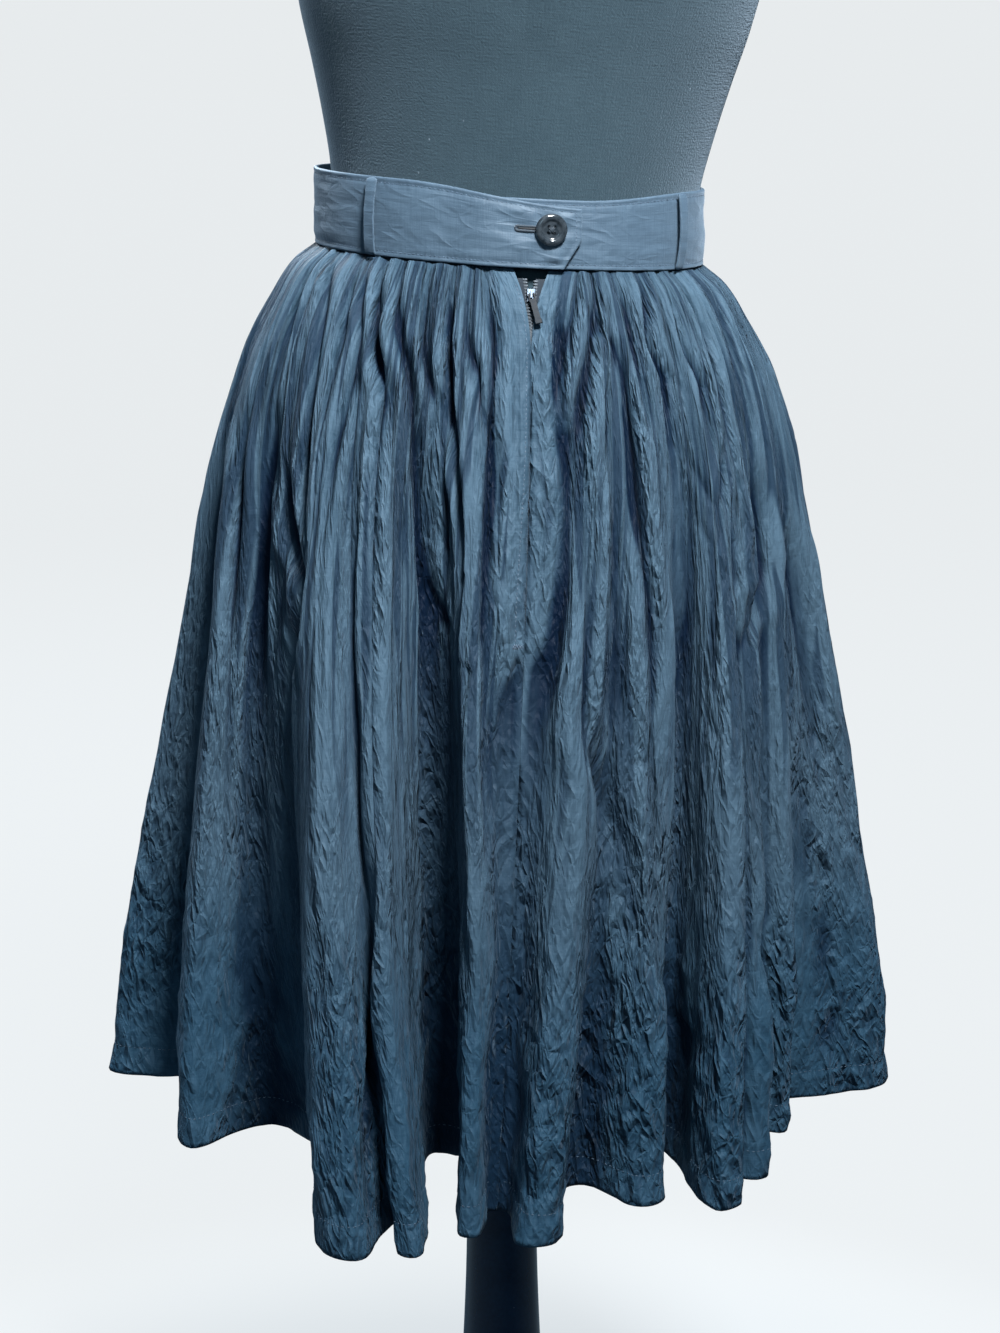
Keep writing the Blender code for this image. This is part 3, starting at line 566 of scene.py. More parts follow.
def long_creases(turn, fall):
    """Troughs, each a pinched bell across the cloth between two low shoulders.

    A trough keeps its depth along its path, tapers at its ends and fades where its
    path slants over the body, which the cloth covers more closely towards the hem.
    It is wider and deeper where the cloth is gathered. One that starts at the waist
    starts at full depth. The back has the front's creases. Where troughs meet,
    their sum levels off.
    """
    height = np.zeros(np.broadcast(turn, fall).shape)
    paths = [
        (depth, width, [(away_from_front(at), down) for at, down in path])
        for depth, width, path in CREASES
    ]
    paths += [(depth * 0.9, width * 1.15, behind(path)) for depth, width, path in paths]
    gathered = 1.0 + 0.5 * (1.0 - between(0.05, 0.55, fall))
    deeper = 1.0 + 0.55 * (1.0 - between(0.30, 0.60, fall))
    spread_out = (0.2 + 0.8 * fall) * CLOTH_WIDTH / CLOTH_DROP
    for depth, width, path in paths:
        falls = np.array([place[1] for place in path])
        turns = np.array([place[0] for place in path])
        middle = smooth(fall, falls, turns)
        slant = (smooth(fall + 0.004, falls, turns) - middle) / 0.004 * spread_out
        first = falls[0] - (0.10 if falls[0] < 0.035 else 0.02)
        taper = between(first, first + 0.10, fall)
        taper = taper * (1.0 - between(falls[-1] - 0.10, falls[-1] + 0.12, fall))
        off = abs(away_from_front(turn - middle)) * CLOTH_WIDTH
        off = off / (width * gathered) / np.hypot(1.0, slant)
        taper = taper * deeper / (1.0 + (slant / 1.3) ** 4)
        shoulders = 0.34 * np.exp(-((off - 2.0) ** 2))
        height = height + depth * taper * (np.exp(-(off**1.35)) - shoulders)
    return DEEPEST_CREASE * np.tanh(height / DEEPEST_CREASE)


def crumple(turn, fall):
    """The silk's crumpled facets, long and upright above, small and lively below.

    Each layer is the squared distance to points strewn over the cloth: its
    borders are sharp ridges. One layer is turned over, for sharp valleys.
    """
    across, down = turn * CLOTH_WIDTH, fall * CLOTH_DROP
    sway = 0.006 * soft_noise(across / 0.050, down / 0.040, 3)
    lift = 0.006 * soft_noise(across / 0.040, down / 0.050, 5)
    low = between(0.50, 0.95, fall)
    high = between(0.02, 0.12, fall) * (1.0 - 0.75 * between(0.45, 0.95, fall))

    def layer(along, drop, cells):
        """The squared distance to the nearest of the strewn points, about a height of 0."""
        width, tall, seed = cells
        return nearest_point(along / width, drop / tall, seed) ** 2 - 0.25

    upright = layer(across + sway, down + lift, UPRIGHT_CELLS)
    slanted = layer(across + 0.30 * down + sway, down + lift, SLANTED_CELLS)
    facets = layer(across + sway, down + lift, FACET_CELLS)
    small = layer(across - lift, down + sway, SMALL_CELLS)
    height = high * (0.0022 * upright - 0.0016 * slanted)
    height += low * (0.0032 * facets - 0.0026 * slanted + 0.0012 * small)
    return height


def hem_turning(turn, fall):
    """The turned hem: a thicker edge under a puckered line of stitching."""
    up = (1.0 - fall) * CLOTH_DROP
    across = turn * CLOTH_WIDTH
    pucker = 0.6 + 0.4 * wave(across / 0.011, 3.0 * soft_noise(across / 0.03, up * 0, 7))
    depth, width = HEM_GROOVE
    groove = -depth * pucker * bell(up - HEM_TURNED, width)
    return groove + 0.0004 * (1.0 - between(0.015, 0.020, up))


def seam_lines(turn, fall):
    """Shallow grooves where the panels are sewn together."""
    height = np.zeros(np.broadcast(turn, fall).shape)
    depth, width = SEAM_GROOVE
    for seam in (0.25, 0.5, 0.75):
        height = height - depth * bell((turn - seam) * CLOTH_WIDTH, width)
    depth, width = FRONT_GROOVE
    front = bell(away_from_front(turn) * CLOTH_WIDTH, width)
    return height - depth * front * between(0.05, 0.20, fall)


def blurred(values, reach):
    """Each row and column of a grid of points evened out over a reach, three times."""
    for axis in (0, 1):
        for _ in range(3):
            widths = [(0, 0)] * values.ndim
            widths[axis] = (reach + 1, reach)
            mode = "wrap" if axis else "edge"
            total = np.cumsum(np.pad(values, widths, mode=mode), axis=axis)
            count = values.shape[axis]
            ahead = np.take(total, np.arange(2 * reach + 1, 2 * reach + 1 + count), axis=axis)
            values = (ahead - np.take(total, np.arange(count), axis=axis)) / (2 * reach + 1)
    return values


def cloth_height(turn, fall):
    """How far the finished cloth lies out of its draped form, with all its creases."""
    near_zip = abs(away_from_front(turn)) * CLOTH_WIDTH
    calm = between(0.001, 0.016, near_zip) * between(0.0, 0.03, fall)
    over_tape = (1.0 - between(0.34, 0.42, fall)) * (1.0 - between(0.012, 0.022, near_zip))
    height = crumple(turn, fall) * calm * (1.0 - 0.6 * over_tape)
    held = 0.20 + 0.80 * between(0.0, 0.07, fall)
    free = held * between(0.0, 0.006, near_zip) * (1.0 - over_tape)
    height = height + long_creases(turn, fall) * free
    return height + hem_turning(turn, fall) + seam_lines(turn, fall) * between(0.0, 0.02, fall)


def cloth_line(turn, fall):
    """A line of places on the cloth's outer face, and the way out at each."""
    out = draped_normal(turn, fall)
    proud = cloth_height(turn, fall) + CLOTH_WALL / 2
    return draped_point(turn, fall) + out * proud[:, None], out


def cloth_grid():
    """The whole skirt's points with all its creases, where they are on the flat
    cloth, and how far each rises over the cloth round it: the lower of its rise
    in a narrow and in a wide neighbourhood.
    """
    turn = np.linspace(0.0, 1.0, 4 * PANEL_COLUMNS + 1)[None, :]
    fall = np.linspace(0.0, 1.0, PANEL_ROWS + 1)[:, None]
    out = draped_normal(turn, fall)
    points = draped_point(turn, fall) + out * cloth_height(turn, fall)[..., None]
    places = stacked(turn * CLOTH_WIDTH, -fall * CLOTH_DROP)
    narrow = ((points - blurred(points, 4)) * out).sum(axis=-1)
    wide = ((points - blurred(points, 11)) * out).sum(axis=-1)
    # The rise places the silk's painted shade in valleys and painted highlight on crests.
    return points, places, np.minimum(narrow, 0.17 * wide + 0.0007)


def mesh_of(name, points, corners, places=None):
    """A mesh from arrays of points and of faces' corners, with a UV map in metres."""
    mesh = bpy.data.meshes.new(name)
    mesh.vertices.add(len(points))
    mesh.vertices.foreach_set("co", np.ascontiguousarray(points, np.float32).ravel())
    sides = corners.shape[1]
    mesh.loops.add(corners.size)
    mesh.loops.foreach_set("vertex_index", corners.astype(np.int32).ravel())
    mesh.polygons.add(len(corners))
    mesh.polygons.foreach_set("loop_start", np.arange(0, corners.size, sides, dtype=np.int32))
    if places is not None:
        layer = mesh.uv_layers.new(name="cloth_metres")
        layer.data.foreach_set("uv", np.ascontiguousarray(places, np.float32).ravel())
    mesh.update(calc_edges=True)
    mesh.validate()
    mesh.shade_smooth()
    return mesh


def grid_corners(rows, columns, ring=False):
    """The corners of a grid's faces, rows running down and columns to the right."""
    index = np.arange(rows * columns).reshape(rows, columns)
    if ring:
        index = np.concatenate([index, index[:, :1]], axis=1)
    quads = (index[:-1, :-1], index[1:, :-1], index[1:, 1:], index[:-1, 1:])
    return np.stack(quads, axis=-1).reshape(-1, 4)


def grid_mesh(name, points, places, ring=False):
    """A sheet over a grid of points. On a ring, places has one column more."""
    rows, columns = points.shape[:2]
    corners = grid_corners(rows, columns, ring)
    wide = places.shape[1]
    face = grid_corners(rows, wide)
    flat = places.reshape(-1, 2)
    return mesh_of(name, points.reshape(-1, 3), corners, flat[face].reshape(-1, 2))


def merge_points(mesh, outwards=False):
    """Joins points that lie together, and on request turns a closed shape outwards."""
    body = bmesh.new()
    body.from_mesh(mesh)
    bmesh.ops.remove_doubles(body, verts=body.verts, dist=1e-6)
    if outwards:
        bmesh.ops.recalc_face_normals(body, faces=body.faces)
    body.to_mesh(mesh)
    body.free()
    mesh.shade_smooth()
    return mesh


def closed_mesh(name, points, places):
    """A ring of points with its seam and ends closed and its faces outwards."""
    return merge_points(grid_mesh(name, points, places, ring=True), outwards=True)


def add_object(name, data):
    """An object at the origin, put into the scene."""
    obj = bpy.data.objects.new(name, data)
    bpy.context.scene.collection.objects.link(obj)
    return obj


def add_piece(name, mesh, finish, stands_for=()):
    """A piece with its finish, and the solids that it stands for."""
    obj = add_object(name, mesh)
    mesh.materials.clear()
    mesh.materials.append(finish)
    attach(obj, "root")
    if stands_for:
        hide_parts(*stands_for)
    return obj


def add_wall(obj, thickness):
    """A thickness for a sheet, half of it on either side."""
    wall = obj.modifiers.new("wall", "SOLIDIFY")
    wall.thickness = thickness
    wall.offset = 0.0


def band_point(degrees, height, proud=0.0):
    """A point on the band's outer face: angle, share of its height, distance out."""
    angle = np.radians(degrees)
    depth = BAND_DEPTH + proud
    radius = ellipse_radius(degrees, BAND_HALF_WIDTH + proud, depth, depth)
    x = radius * np.sin(angle) + WAIST_SHIFT
    y = -radius * np.cos(angle)
    z = SEAM_HEIGHT + height * BAND_HEIGHT - x * math.tan(WAIST_LEAN)
    return stacked(x, y, z)


def lap_rise(degrees):
    """The lapped end climbs over the end under it."""
    climb = LAP_RISE * between(LAP_FROM, LAP_TO, degrees)
    return climb + TAB_CURL * between(TAB_AT - 7, TAB_AT, degrees)


def band_metres(degrees):
    """Metres along the band from its end under the lap, on its mean radius."""
    return np.radians(degrees - UNDERLAP_AT) * BAND_MEAN_RADIUS


def band_end(height):
    """The angle where the tab ends: upright above, slanted back below."""
    cut = TAB_CUT * np.clip(1.0 - height / TAB_CUT_HEIGHT, 0.0, 1.0)
    return TAB_AT - np.degrees(cut / BAND_DEPTH)


def band_dip(degrees, height):
    """How far the button's pull brings the band down: most at its top, by the tab."""
    lapped = LAP_DIP * between(322.0, TAB_AT + 4.0, degrees)
    under = UNDER_DIP * (1.0 - between(24.0, 72.0, degrees))
    return np.where(degrees > 180, lapped, under) * np.clip(height, 0.0, 1.0) ** 1.3


def band_relief(degrees, height):
    """Grooves along the edge stitching, and faint creases that run along the band."""
    along = band_metres(degrees)
    up = height * BAND_HEIGHT
    to_edge = np.minimum(up, BAND_HEIGHT - up)
    to_end = (band_end(height) - degrees) * np.pi / 180 * BAND_DEPTH
    to_edge = np.where(degrees > 180, np.minimum(to_edge, to_end), to_edge)
    depth, width = BAND_GROOVE
    groove = -depth * bell(to_edge - STITCH_INSET, width)
    pucker = 0.00012 * wave(along / 0.0052) * bell(to_edge - 0.004, 0.003)
    bent = along / 0.034 + 0.7 * soft_noise(along / 0.02, up / 0.01, 2)
    creases = 0.00026 * soft_noise(bent, up / 0.0048, 41)
    waves = 0.00050 * soft_noise(along / 0.050, up / 0.016, 43)
    leaning = up / 0.011 + along / 0.05
    waves = waves + 0.00030 * nearest_point((along + 0.4 * up) / 0.022, leaning, 45)
    beside = (degrees - 360.0 - BUTTON_AT) * np.pi / 180 * BAND_DEPTH
    above = up - BAND_HEIGHT / 2
    rays = np.cos(5.0 * np.arctan2(above, beside) + 0.7)
    pulled = 0.00070 * rays * bell(np.hypot(beside, above) - 0.017, 0.008)
    return groove + pucker + (creases + waves + pulled) * between(0.0035, 0.0080, to_edge)


def waistband():
    """A flattened tube of cloth, from the end under the lap round to the tab.

    The section is a long loop: out on the face, half round at the top edge, down
    the inside and half round at the seam. Both ends close on their middle line.
    """
    half_turn = np.linspace(0.0, np.pi, 7)
    rim = 0.020
    height = np.concatenate(
        [
            np.linspace(rim, 1 - rim, 42)[:-1],
            1 - rim + rim * np.sin(half_turn),
            np.linspace(1 - rim, rim, 12)[1:-1],
            rim - rim * np.sin(half_turn),
        ]
    )
    rim_out = 0.5 + 0.5 * np.cos(half_turn)
    wall = np.concatenate([np.ones(41), rim_out, np.zeros(10), 1.0 - rim_out])
    height, wall = height[:-1, None], wall[:-1, None]
    tip = 0.0016 / 0.68
    steps = np.array([0.0, 0.04, 0.15, 0.35, 0.65, 1.0]) * tip
    share = np.concatenate([steps, np.linspace(tip, 1 - tip, 460)[1:-1], 1 - steps[::-1]])
    share = share[None, :]
    round_end = rounded_in(np.minimum(share, 1 - share) / tip)
    degrees = UNDERLAP_AT + (band_end(height) - UNDERLAP_AT) * share
    depth = (0.5 + (wall - 0.5) * round_end - 1.0) * BAND_WALL
    proud = lap_rise(degrees) + depth + band_relief(degrees, height) * wall * round_end
    points = band_point(degrees, height, proud)
    points[..., 2] -= band_dip(degrees, height)
    points = np.concatenate([points, points[:1]])[::-1]
    places = stacked(band_metres(degrees), height * BAND_HEIGHT)
    places = np.concatenate([places, places[:1]])[::-1]
    mesh = merge_points(grid_mesh("waistband_cloth", points, places))
    finish = FINISH["band_cloth"]
    return add_piece("waistband_cloth", mesh, finish, stands_for=["waistband"])


def band_frame(degrees, height, proud):
    """Where a piece sits on the band: X along the band, Z straight out of it."""
    place = band_point(np.array(degrees), height, proud)
    ahead = band_point(np.array(degrees + 0.5), height, proud)
    along = Vector(ahead - place).normalized()
    up = Vector((0.0, 0.0, 1.0))
    out = along.cross(up).normalized()
    up = out.cross(along)
    turned = Matrix((along, up, out)).transposed().to_4x4()
    turned.translation = Vector(place)
    return np.array(turned)


def placed(points, turned):
    """Points of a piece's own frame in the model's frame."""
    return points @ turned[:3, :3].T + turned[:3, 3]


def belt_loop(number, degrees):
    """A strap down the band: a flat loop section, bowed off it between its ends."""
    share = np.linspace(0.0, 1.0, 41)[:, None]
    around = np.linspace(0.0, 2 * np.pi, 24, endpoint=False)[None, :]

    def squared(value):
        """A circle's coordinate drawn out towards a square with round corners."""
        return np.sign(value) * np.abs(value) ** 0.35

    across = squared(np.cos(around)) * LOOP_WIDTH / 2 * (1.0 + 0.03 * np.sin(9 * share + number))
    stitched = bell(np.abs(across) - 0.0024, 0.0005)
    out = squared(np.sin(around)) * LOOP_WALL / 2
    out = out - 0.00022 * stitched * (out > 0)
    ends = rounded_in(np.minimum(share, 1 - share) / 0.03)
    stand = LOOP_WALL / 2 + 0.0004 + LOOP_STAND * np.sin(np.pi * share) ** 0.6
    dent = 0.0003 * soft_noise(across / 0.003 + number, share * 7, 47)
    height = BAND_HEIGHT * (share - 0.5) * 0.985
    out = stand + (out + dent * (out > 0)) * ends
    local = stacked(across * (0.2 + 0.8 * ends), height, out)
    points = placed(local, band_frame(degrees, 0.5, 0.0005))
    wide = np.append(around, 2 * np.pi)[None, :]
    places = stacked(wide * 0.0026 + number * 0.1, share * BAND_HEIGHT)
    node = f"belt_loop_{number}"
    mesh = closed_mesh(f"{node}_cloth", points[::-1], places[::-1])
    return add_piece(f"{node}_cloth", mesh, FINISH["band_cloth"], stands_for=[node])


def turned_surface(profile, sides, steps):
    """A profile of (radius, height) pairs turned round Z, closed on the axis.

    The profile is rounded by a smooth curve through its rows, by their distance.
    """
    rows = np.array(profile, float)
    rows = np.concatenate([[[0.0, rows[0, 1]]], rows, [[0.0, rows[-1, 1]]]])
    length = length_along(rows)
    at = np.unique(np.concatenate([length, np.linspace(0.0, length[-1], steps)]))
    radius, height = smooth(at, length, rows[:, 0]), smooth(at, length, rows[:, 1])
    angle = np.linspace(0.0, 2 * np.pi, sides, endpoint=False)[None, :]
    radius, height = np.maximum(radius, 0.0)[:, None], height[:, None]
    points = stacked(radius * np.sin(angle), -radius * np.cos(angle), height)
    wide = np.linspace(0.0, 1.0, sides + 1)[None, :]
    places = stacked(wide, at[:, None])
    return points, places


def turned_piece(name, profile, sides, finish, node, turned=np.eye(4), sharp=40):
    """A turned surface set in its frame, whose edges over an angle in degrees stay sharp."""
    points, places = turned_surface(profile, sides, 60)
    mesh = closed_mesh(name, placed(points, turned), places)
    mesh.set_sharp_from_angle(angle=math.radians(sharp))
    return add_piece(name, mesh, finish, stands_for=[node])


def dress_form():
    """The torso: soft ellipses whose middles lean to one side, closed at both ends."""
    heights = np.concatenate(
        [
            np.linspace(0.792, 0.800, 5)[:-1],
            np.linspace(0.800, 1.385, 96)[:-1],
            np.linspace(1.385, 1.522, 48),
        ]
    )
    table = column(FORM, FORM_COLUMNS, "height")
    sizes = [
        smooth(heights, table, column(FORM, FORM_COLUMNS, name))[:, None]
        for name in FORM_COLUMNS[1:]
    ]
    heights = heights[:, None]
    degrees = np.linspace(0.0, 360.0, 145)[None, :]
    angle = np.radians(degrees)
    radius = ellipse_radius(degrees, *sizes)
    x = radius * np.sin(angle)
    z = heights - x * math.tan(WAIST_LEAN) * between(0.80, 0.90, heights)
    middle = FORM_SHIFT + (heights - SEAM_HEIGHT - BAND_HEIGHT / 2) * math.tan(WAIST_LEAN)
    points = stacked(x + middle, -radius * np.cos(angle), z)
    top, bottom = [
        np.broadcast_to(points[row, :-1].mean(axis=0), points[row].shape)[None]
        for row in (-1, 0)
    ]
    points = np.concatenate([bottom, points, top])[::-1]
    girth = angle * 0.13
    down = np.concatenate([[heights[0]], heights, [heights[-1]]])[::-1]
    places = stacked(girth, down)
    mesh = merge_points(grid_mesh("dress_form_cloth", points, places), outwards=True)
    mesh.set_sharp_from_angle(angle=math.radians(50))
    finish = FINISH["form_cloth"]
    return add_piece("dress_form_cloth", mesh, finish, stands_for=["dress_form"])


def stitches(name, path, outs, stitch):
    """Stitches along a path, one to each pitch and a share of it long."""
    pitch, share, radius = stitch
    length = length_along(path)
    starts = np.arange(0.0, length[-1] - pitch, pitch)
    head = read_along(path, length, starts)
    tail = read_along(path, length, starts + pitch * share)
    out = unit(read_along(outs, length, starts + pitch * share / 2))
    return bead_piece(name, head, tail, out, radius, FINISH["sewing_thread"])


def bead_piece(name, head, tail, out, radius, finish):
    """Beads of thread that rise from the cloth between their ends and sink in.

    Each bead is three rings of six points between two tips, its rings flattened
    to the cloth and its tips below it.
    """

    def down_bead(first, rings, last):
        """A number for each of a bead's points: first tip, rings and last tip."""
        return np.concatenate([[first], rings, [last]])[None, :, None]

    middle, half = (head + tail) / 2, (tail - head) / 2
    side = unit(np.cross(half, out))
    ring = np.arange(6) * np.pi / 3
    t = down_bead(-1.0, np.repeat([-0.72, 0.0, 0.72], 6), 1.0)
    wide = down_bead(0.0, np.repeat([0.75, 1.0, 0.75], 6), 0.0)
    cos = down_bead(0.0, np.tile(np.cos(ring), 3), 0.0)
    sin = down_bead(0.0, np.tile(np.sin(ring), 3), 0.0)
    points = (
        middle[:, None]
        + half[:, None] * t
        + side[:, None] * cos * wide * radius
        + out[:, None] * (sin * wide * 0.8 - 0.9 * t**2 + 0.35) * radius
    )
    first = 1 + np.arange(6)
    ahead = 1 + (np.arange(6) + 1) % 6
    faces = [stacked(0, ahead, first)]
    for row in (0, 6):
        faces.append(stacked(first + row, ahead + row, first + row + 6))
        faces.append(stacked(ahead + row, ahead + row + 6, first + row + 6))
    faces.append(stacked(first + 12, ahead + 12, 19))
    faces = np.concatenate(faces)
    corners = (faces[None] + 20 * np.arange(len(head))[:, None, None]).reshape(-1, 3)
    mesh = merge_points(mesh_of(name, points.reshape(-1, 3), corners), outwards=True)
    return add_piece(name, mesh, finish)


def band_stitching():
    """Edge stitching: along the bottom, round the slanted tab, and back on top."""
    low, high = STITCH_INSET / BAND_HEIGHT, 1 - STITCH_INSET / BAND_HEIGHT
    edge = np.degrees(STITCH_INSET / BAND_DEPTH)
    start, corner, end = UNDERLAP_AT + 2, 377.0 - edge, TAB_AT - edge
    degrees = np.concatenate(
        [
            np.linspace(start, corner, 420),
            np.linspace(corner, end, 12)[1:],
            np.full(14, end),
            np.linspace(end, start, 430),
        ]
    )
    height = np.concatenate(
        [
            np.full(420, low),
            np.linspace(low, TAB_CUT_HEIGHT, 12)[1:],
            np.linspace(TAB_CUT_HEIGHT, high, 14),
            np.full(430, high),
        ]
    )
    proud = lap_rise(degrees) - 0.0003
    path = band_point(degrees, height, proud)
    outs = band_point(degrees, height, proud + 0.001) - path
    path[:, 2] -= band_dip(degrees, height)
    return stitches("band_edge_stitching", path, outs, EDGE_STITCH)


def buttonhole():
    """Close satin stitches round a slit that runs under the button, and a dark sheet of painted
    shadow in the slit.
    """
    half, low, high = BUTTONHOLE_LENGTH / 2, 0.00045, 0.0021
    count = 46
    across = np.linspace(-half, half, count)
    bend = np.linspace(-np.pi / 2, np.pi / 2, 11)[1:-1]
    middle = np.concatenate([across, np.full(9, half), across[::-1], np.full(9, -half)])
    zero = np.zeros(count)
    side = np.concatenate([zero, np.cos(bend), zero, -np.cos(bend)])
    lift = np.concatenate([zero - 1.0, np.sin(bend), zero + 1.0, -np.sin(bend)])

    def on_band(along, up, proud):
        """A place on the lapped end, in metres along it and up from the button."""
        degrees = 360.0 + BUTTON_AT + np.degrees((along - BUTTONHOLE_BACK) / (BAND_DEPTH + 0.004))
        height = 0.5 + up / BAND_HEIGHT
        proud = proud + lap_rise(degrees) + band_relief(degrees, height)
        return band_point(degrees, height, proud)

    head = on_band(middle + side * low, lift * low, 0.0)
    tail = on_band(middle + side * high, lift * high, 0.0)
    out = unit(on_band(middle, lift * 0.001, 0.001) - on_band(middle, lift * 0.001, 0.0))
    thread, name = FINISH["buttonhole_thread"], "buttonhole_slit_shadow"
    ring = bead_piece("buttonhole_stitches", head, tail, out, SATIN_RADIUS, thread)
    # The slit is a thin dark sheet of painted shadow over the band.
    along = np.linspace(-half, half, 40)[None, :]
    across = np.linspace(-1.0, 1.0, 5)[:, None]
    up = across * 0.00055 * np.sqrt(1 - (along / half) ** 2 * 0.999)
    points = on_band(*np.broadcast_arrays(along, up), 0.00008 * (1 - across**2) - 0.00001)
    mesh = grid_mesh(name, points[::-1], stacked(along, up)[::-1])
    slit = add_piece(name, mesh, FINISH["slit_shadow"])
    add_wall(slit, 0.0002)
    return [ring, slit]


def button_thread():
    """Thread through the button's holes: two strands each way, crossed."""
    turned = band_frame(BUTTON_AT, 0.5, LAP_RISE + 0.0006)
    reach, top = BUTTON_HOLE_PITCH / 2, BUTTON_THICKNESS * 0.62
    head, tail = [], []
    for level, (x, y) in enumerate(((1.0, 1.0), (1.0, -1.0))):
        for step in (-0.00028, 0.00028):
            z = top + 0.00025 + 0.00030 * level
            head.append((-x * reach + step * y, -y * reach - step * x, z))
            tail.append((x * reach + step * y, y * reach - step * x, z))
    head, tail = placed(np.array(head), turned), placed(np.array(tail), turned)
    out, thread = np.tile(turned[:3, 2], (4, 1)), FINISH["buttonhole_thread"]
    return bead_piece("button_thread", head, tail, out, BUTTON_THREAD_RADIUS, thread)


def placket_stitching():
    """A line of stitches beside the zip, and a bar tack across its lower end."""
    fall = np.linspace(0.015, PLACKET_FALL, 160)
    aside = 0.0030 + 0.0034 * between(0.15, PLACKET_FALL, fall)
    path, outs = cloth_line(1.0 - aside / CLOTH_WIDTH, fall)
    line = stitches("placket_stitching", path, outs, PLACKET_STITCH)
    turn = 1.0 - np.linspace(0.0012, 0.0080, 13) / CLOTH_WIDTH
    low = PLACKET_FALL + 0.0012 * np.sin(np.arange(13) * 2.3)
    head, outs = cloth_line(turn, low - 0.0022)
    tail, _ = cloth_line(turn + 0.0002, low + 0.0022)
    thread = FINISH["sewing_thread"]
    tack = bead_piece("placket_bar_tack", head, tail, outs, SATIN_RADIUS, thread)
    return [line, tack]


def hem_stitching(number, first, last):
    """The line of stitches that holds one panel's turned hem."""
    turn = np.linspace(first + 0.0008, last - 0.0008, 700)
    path, outs = cloth_line(turn, np.full(700, 1.0 - HEM_TURNED / CLOTH_DROP))
    return stitches(f"hem_stitching_{number}", path, outs, HEM_STITCH)


def zip_tape(name, side):
    """A zip's tape behind one front edge, made from the cloth's own points."""
    fall = np.linspace(0.008, ZIP_LENGTH / (SEAM_HEIGHT - HEM_HEIGHT), 90)[:, None]
    turns = np.array([0.00008, 0.0010, 0.0022, 0.0035])[None, :]
    turn = side * turns + (side < 0)
    points = draped_point(turn, fall) - TAPE_BEHIND * draped_normal(turn, fall)
    along = unit(points[:, 0] - points[:, 1])
    width = OPEN_RIGHT if side > 0 else OPEN_LEFT
    shows = 0.0001 + TAPE_SHOWS * width * opening(fall)
    edge = points[:, 0] + along * shows
    rows = [edge + (points[:, 0] - edge) * share for share in (0.0, 0.33, 0.66)]
    points = np.stack(rows + [points[:, number] for number in range(4)], axis=1)
    if side < 0:
        points = points[:, ::-1]
    places = stacked(np.linspace(0.0, 0.014, 7)[None, :], -fall * CLOTH_DROP)
    mesh = grid_mesh(f"{name}_cloth", points, places)
    tape = add_piece(f"{name}_cloth", mesh, FINISH["tape"], stands_for=[name])
    add_wall(tape, TAPE_WALL)
    return [tape, zip_teeth(f"{name}_teeth", side, edge, along)]


def zip_teeth(name, side, edge, along):
    """Teeth down a tape's edge: small blocks with narrowed heads, one to each pitch.

    A tooth is four square rings, each with a reach beyond the edge, a half height
    down the edge and a half thickness out of it.
    """
    length = length_along(edge)
    at = np.arange(0.0006 + (side > 0) * TOOTH_PITCH / 2, length[-1], TOOTH_PITCH)
    place, reach = read_along(edge, length, at), read_along(along, length, at)
    down = unit(read_along(np.gradient(edge, axis=0), length, at))
    out = unit(np.cross(reach, down) * (1 if side < 0 else -1))
    far = np.array([-0.0014, 0.0002, 0.0008, 0.0013])
    half_down = np.array([0.00055, 0.00055, 0.00034, 0.00055])
    half_out = np.array([0.00060, 0.00075, 0.00075, 0.00050])
    square = np.array([(-1, -1), (1, -1), (1, 1), (-1, 1)])
    local = place[:, None, None] + reach[:, None, None] * far[None, :, None, None]
    local = local + down[:, None, None] * (half_down[:, None] * square[:, 0])[None, :, :, None]
    local = local + out[:, None, None] * (half_out[:, None] * square[:, 1])[None, :, :, None]
    first = np.arange(4)
    ahead = (first + 1) % 4
    faces = [
        stacked(first + row, ahead + row, ahead + row + 4, first + row + 4) for row in (0, 4, 8)
    ]
    faces = np.concatenate([*faces, [[3, 2, 1, 0], [12, 13, 14, 15]]])
    corners = (faces[None] + 16 * np.arange(len(at))[:, None, None]).reshape(-1, 4)
    mesh = mesh_of(name, local.reshape(-1, 3), corners)
    merge_points(mesh, outwards=True)
    mesh.set_sharp_from_angle(angle=math.radians(30))
    return add_piece(name, mesh, FINISH["dark_zip_teeth"])


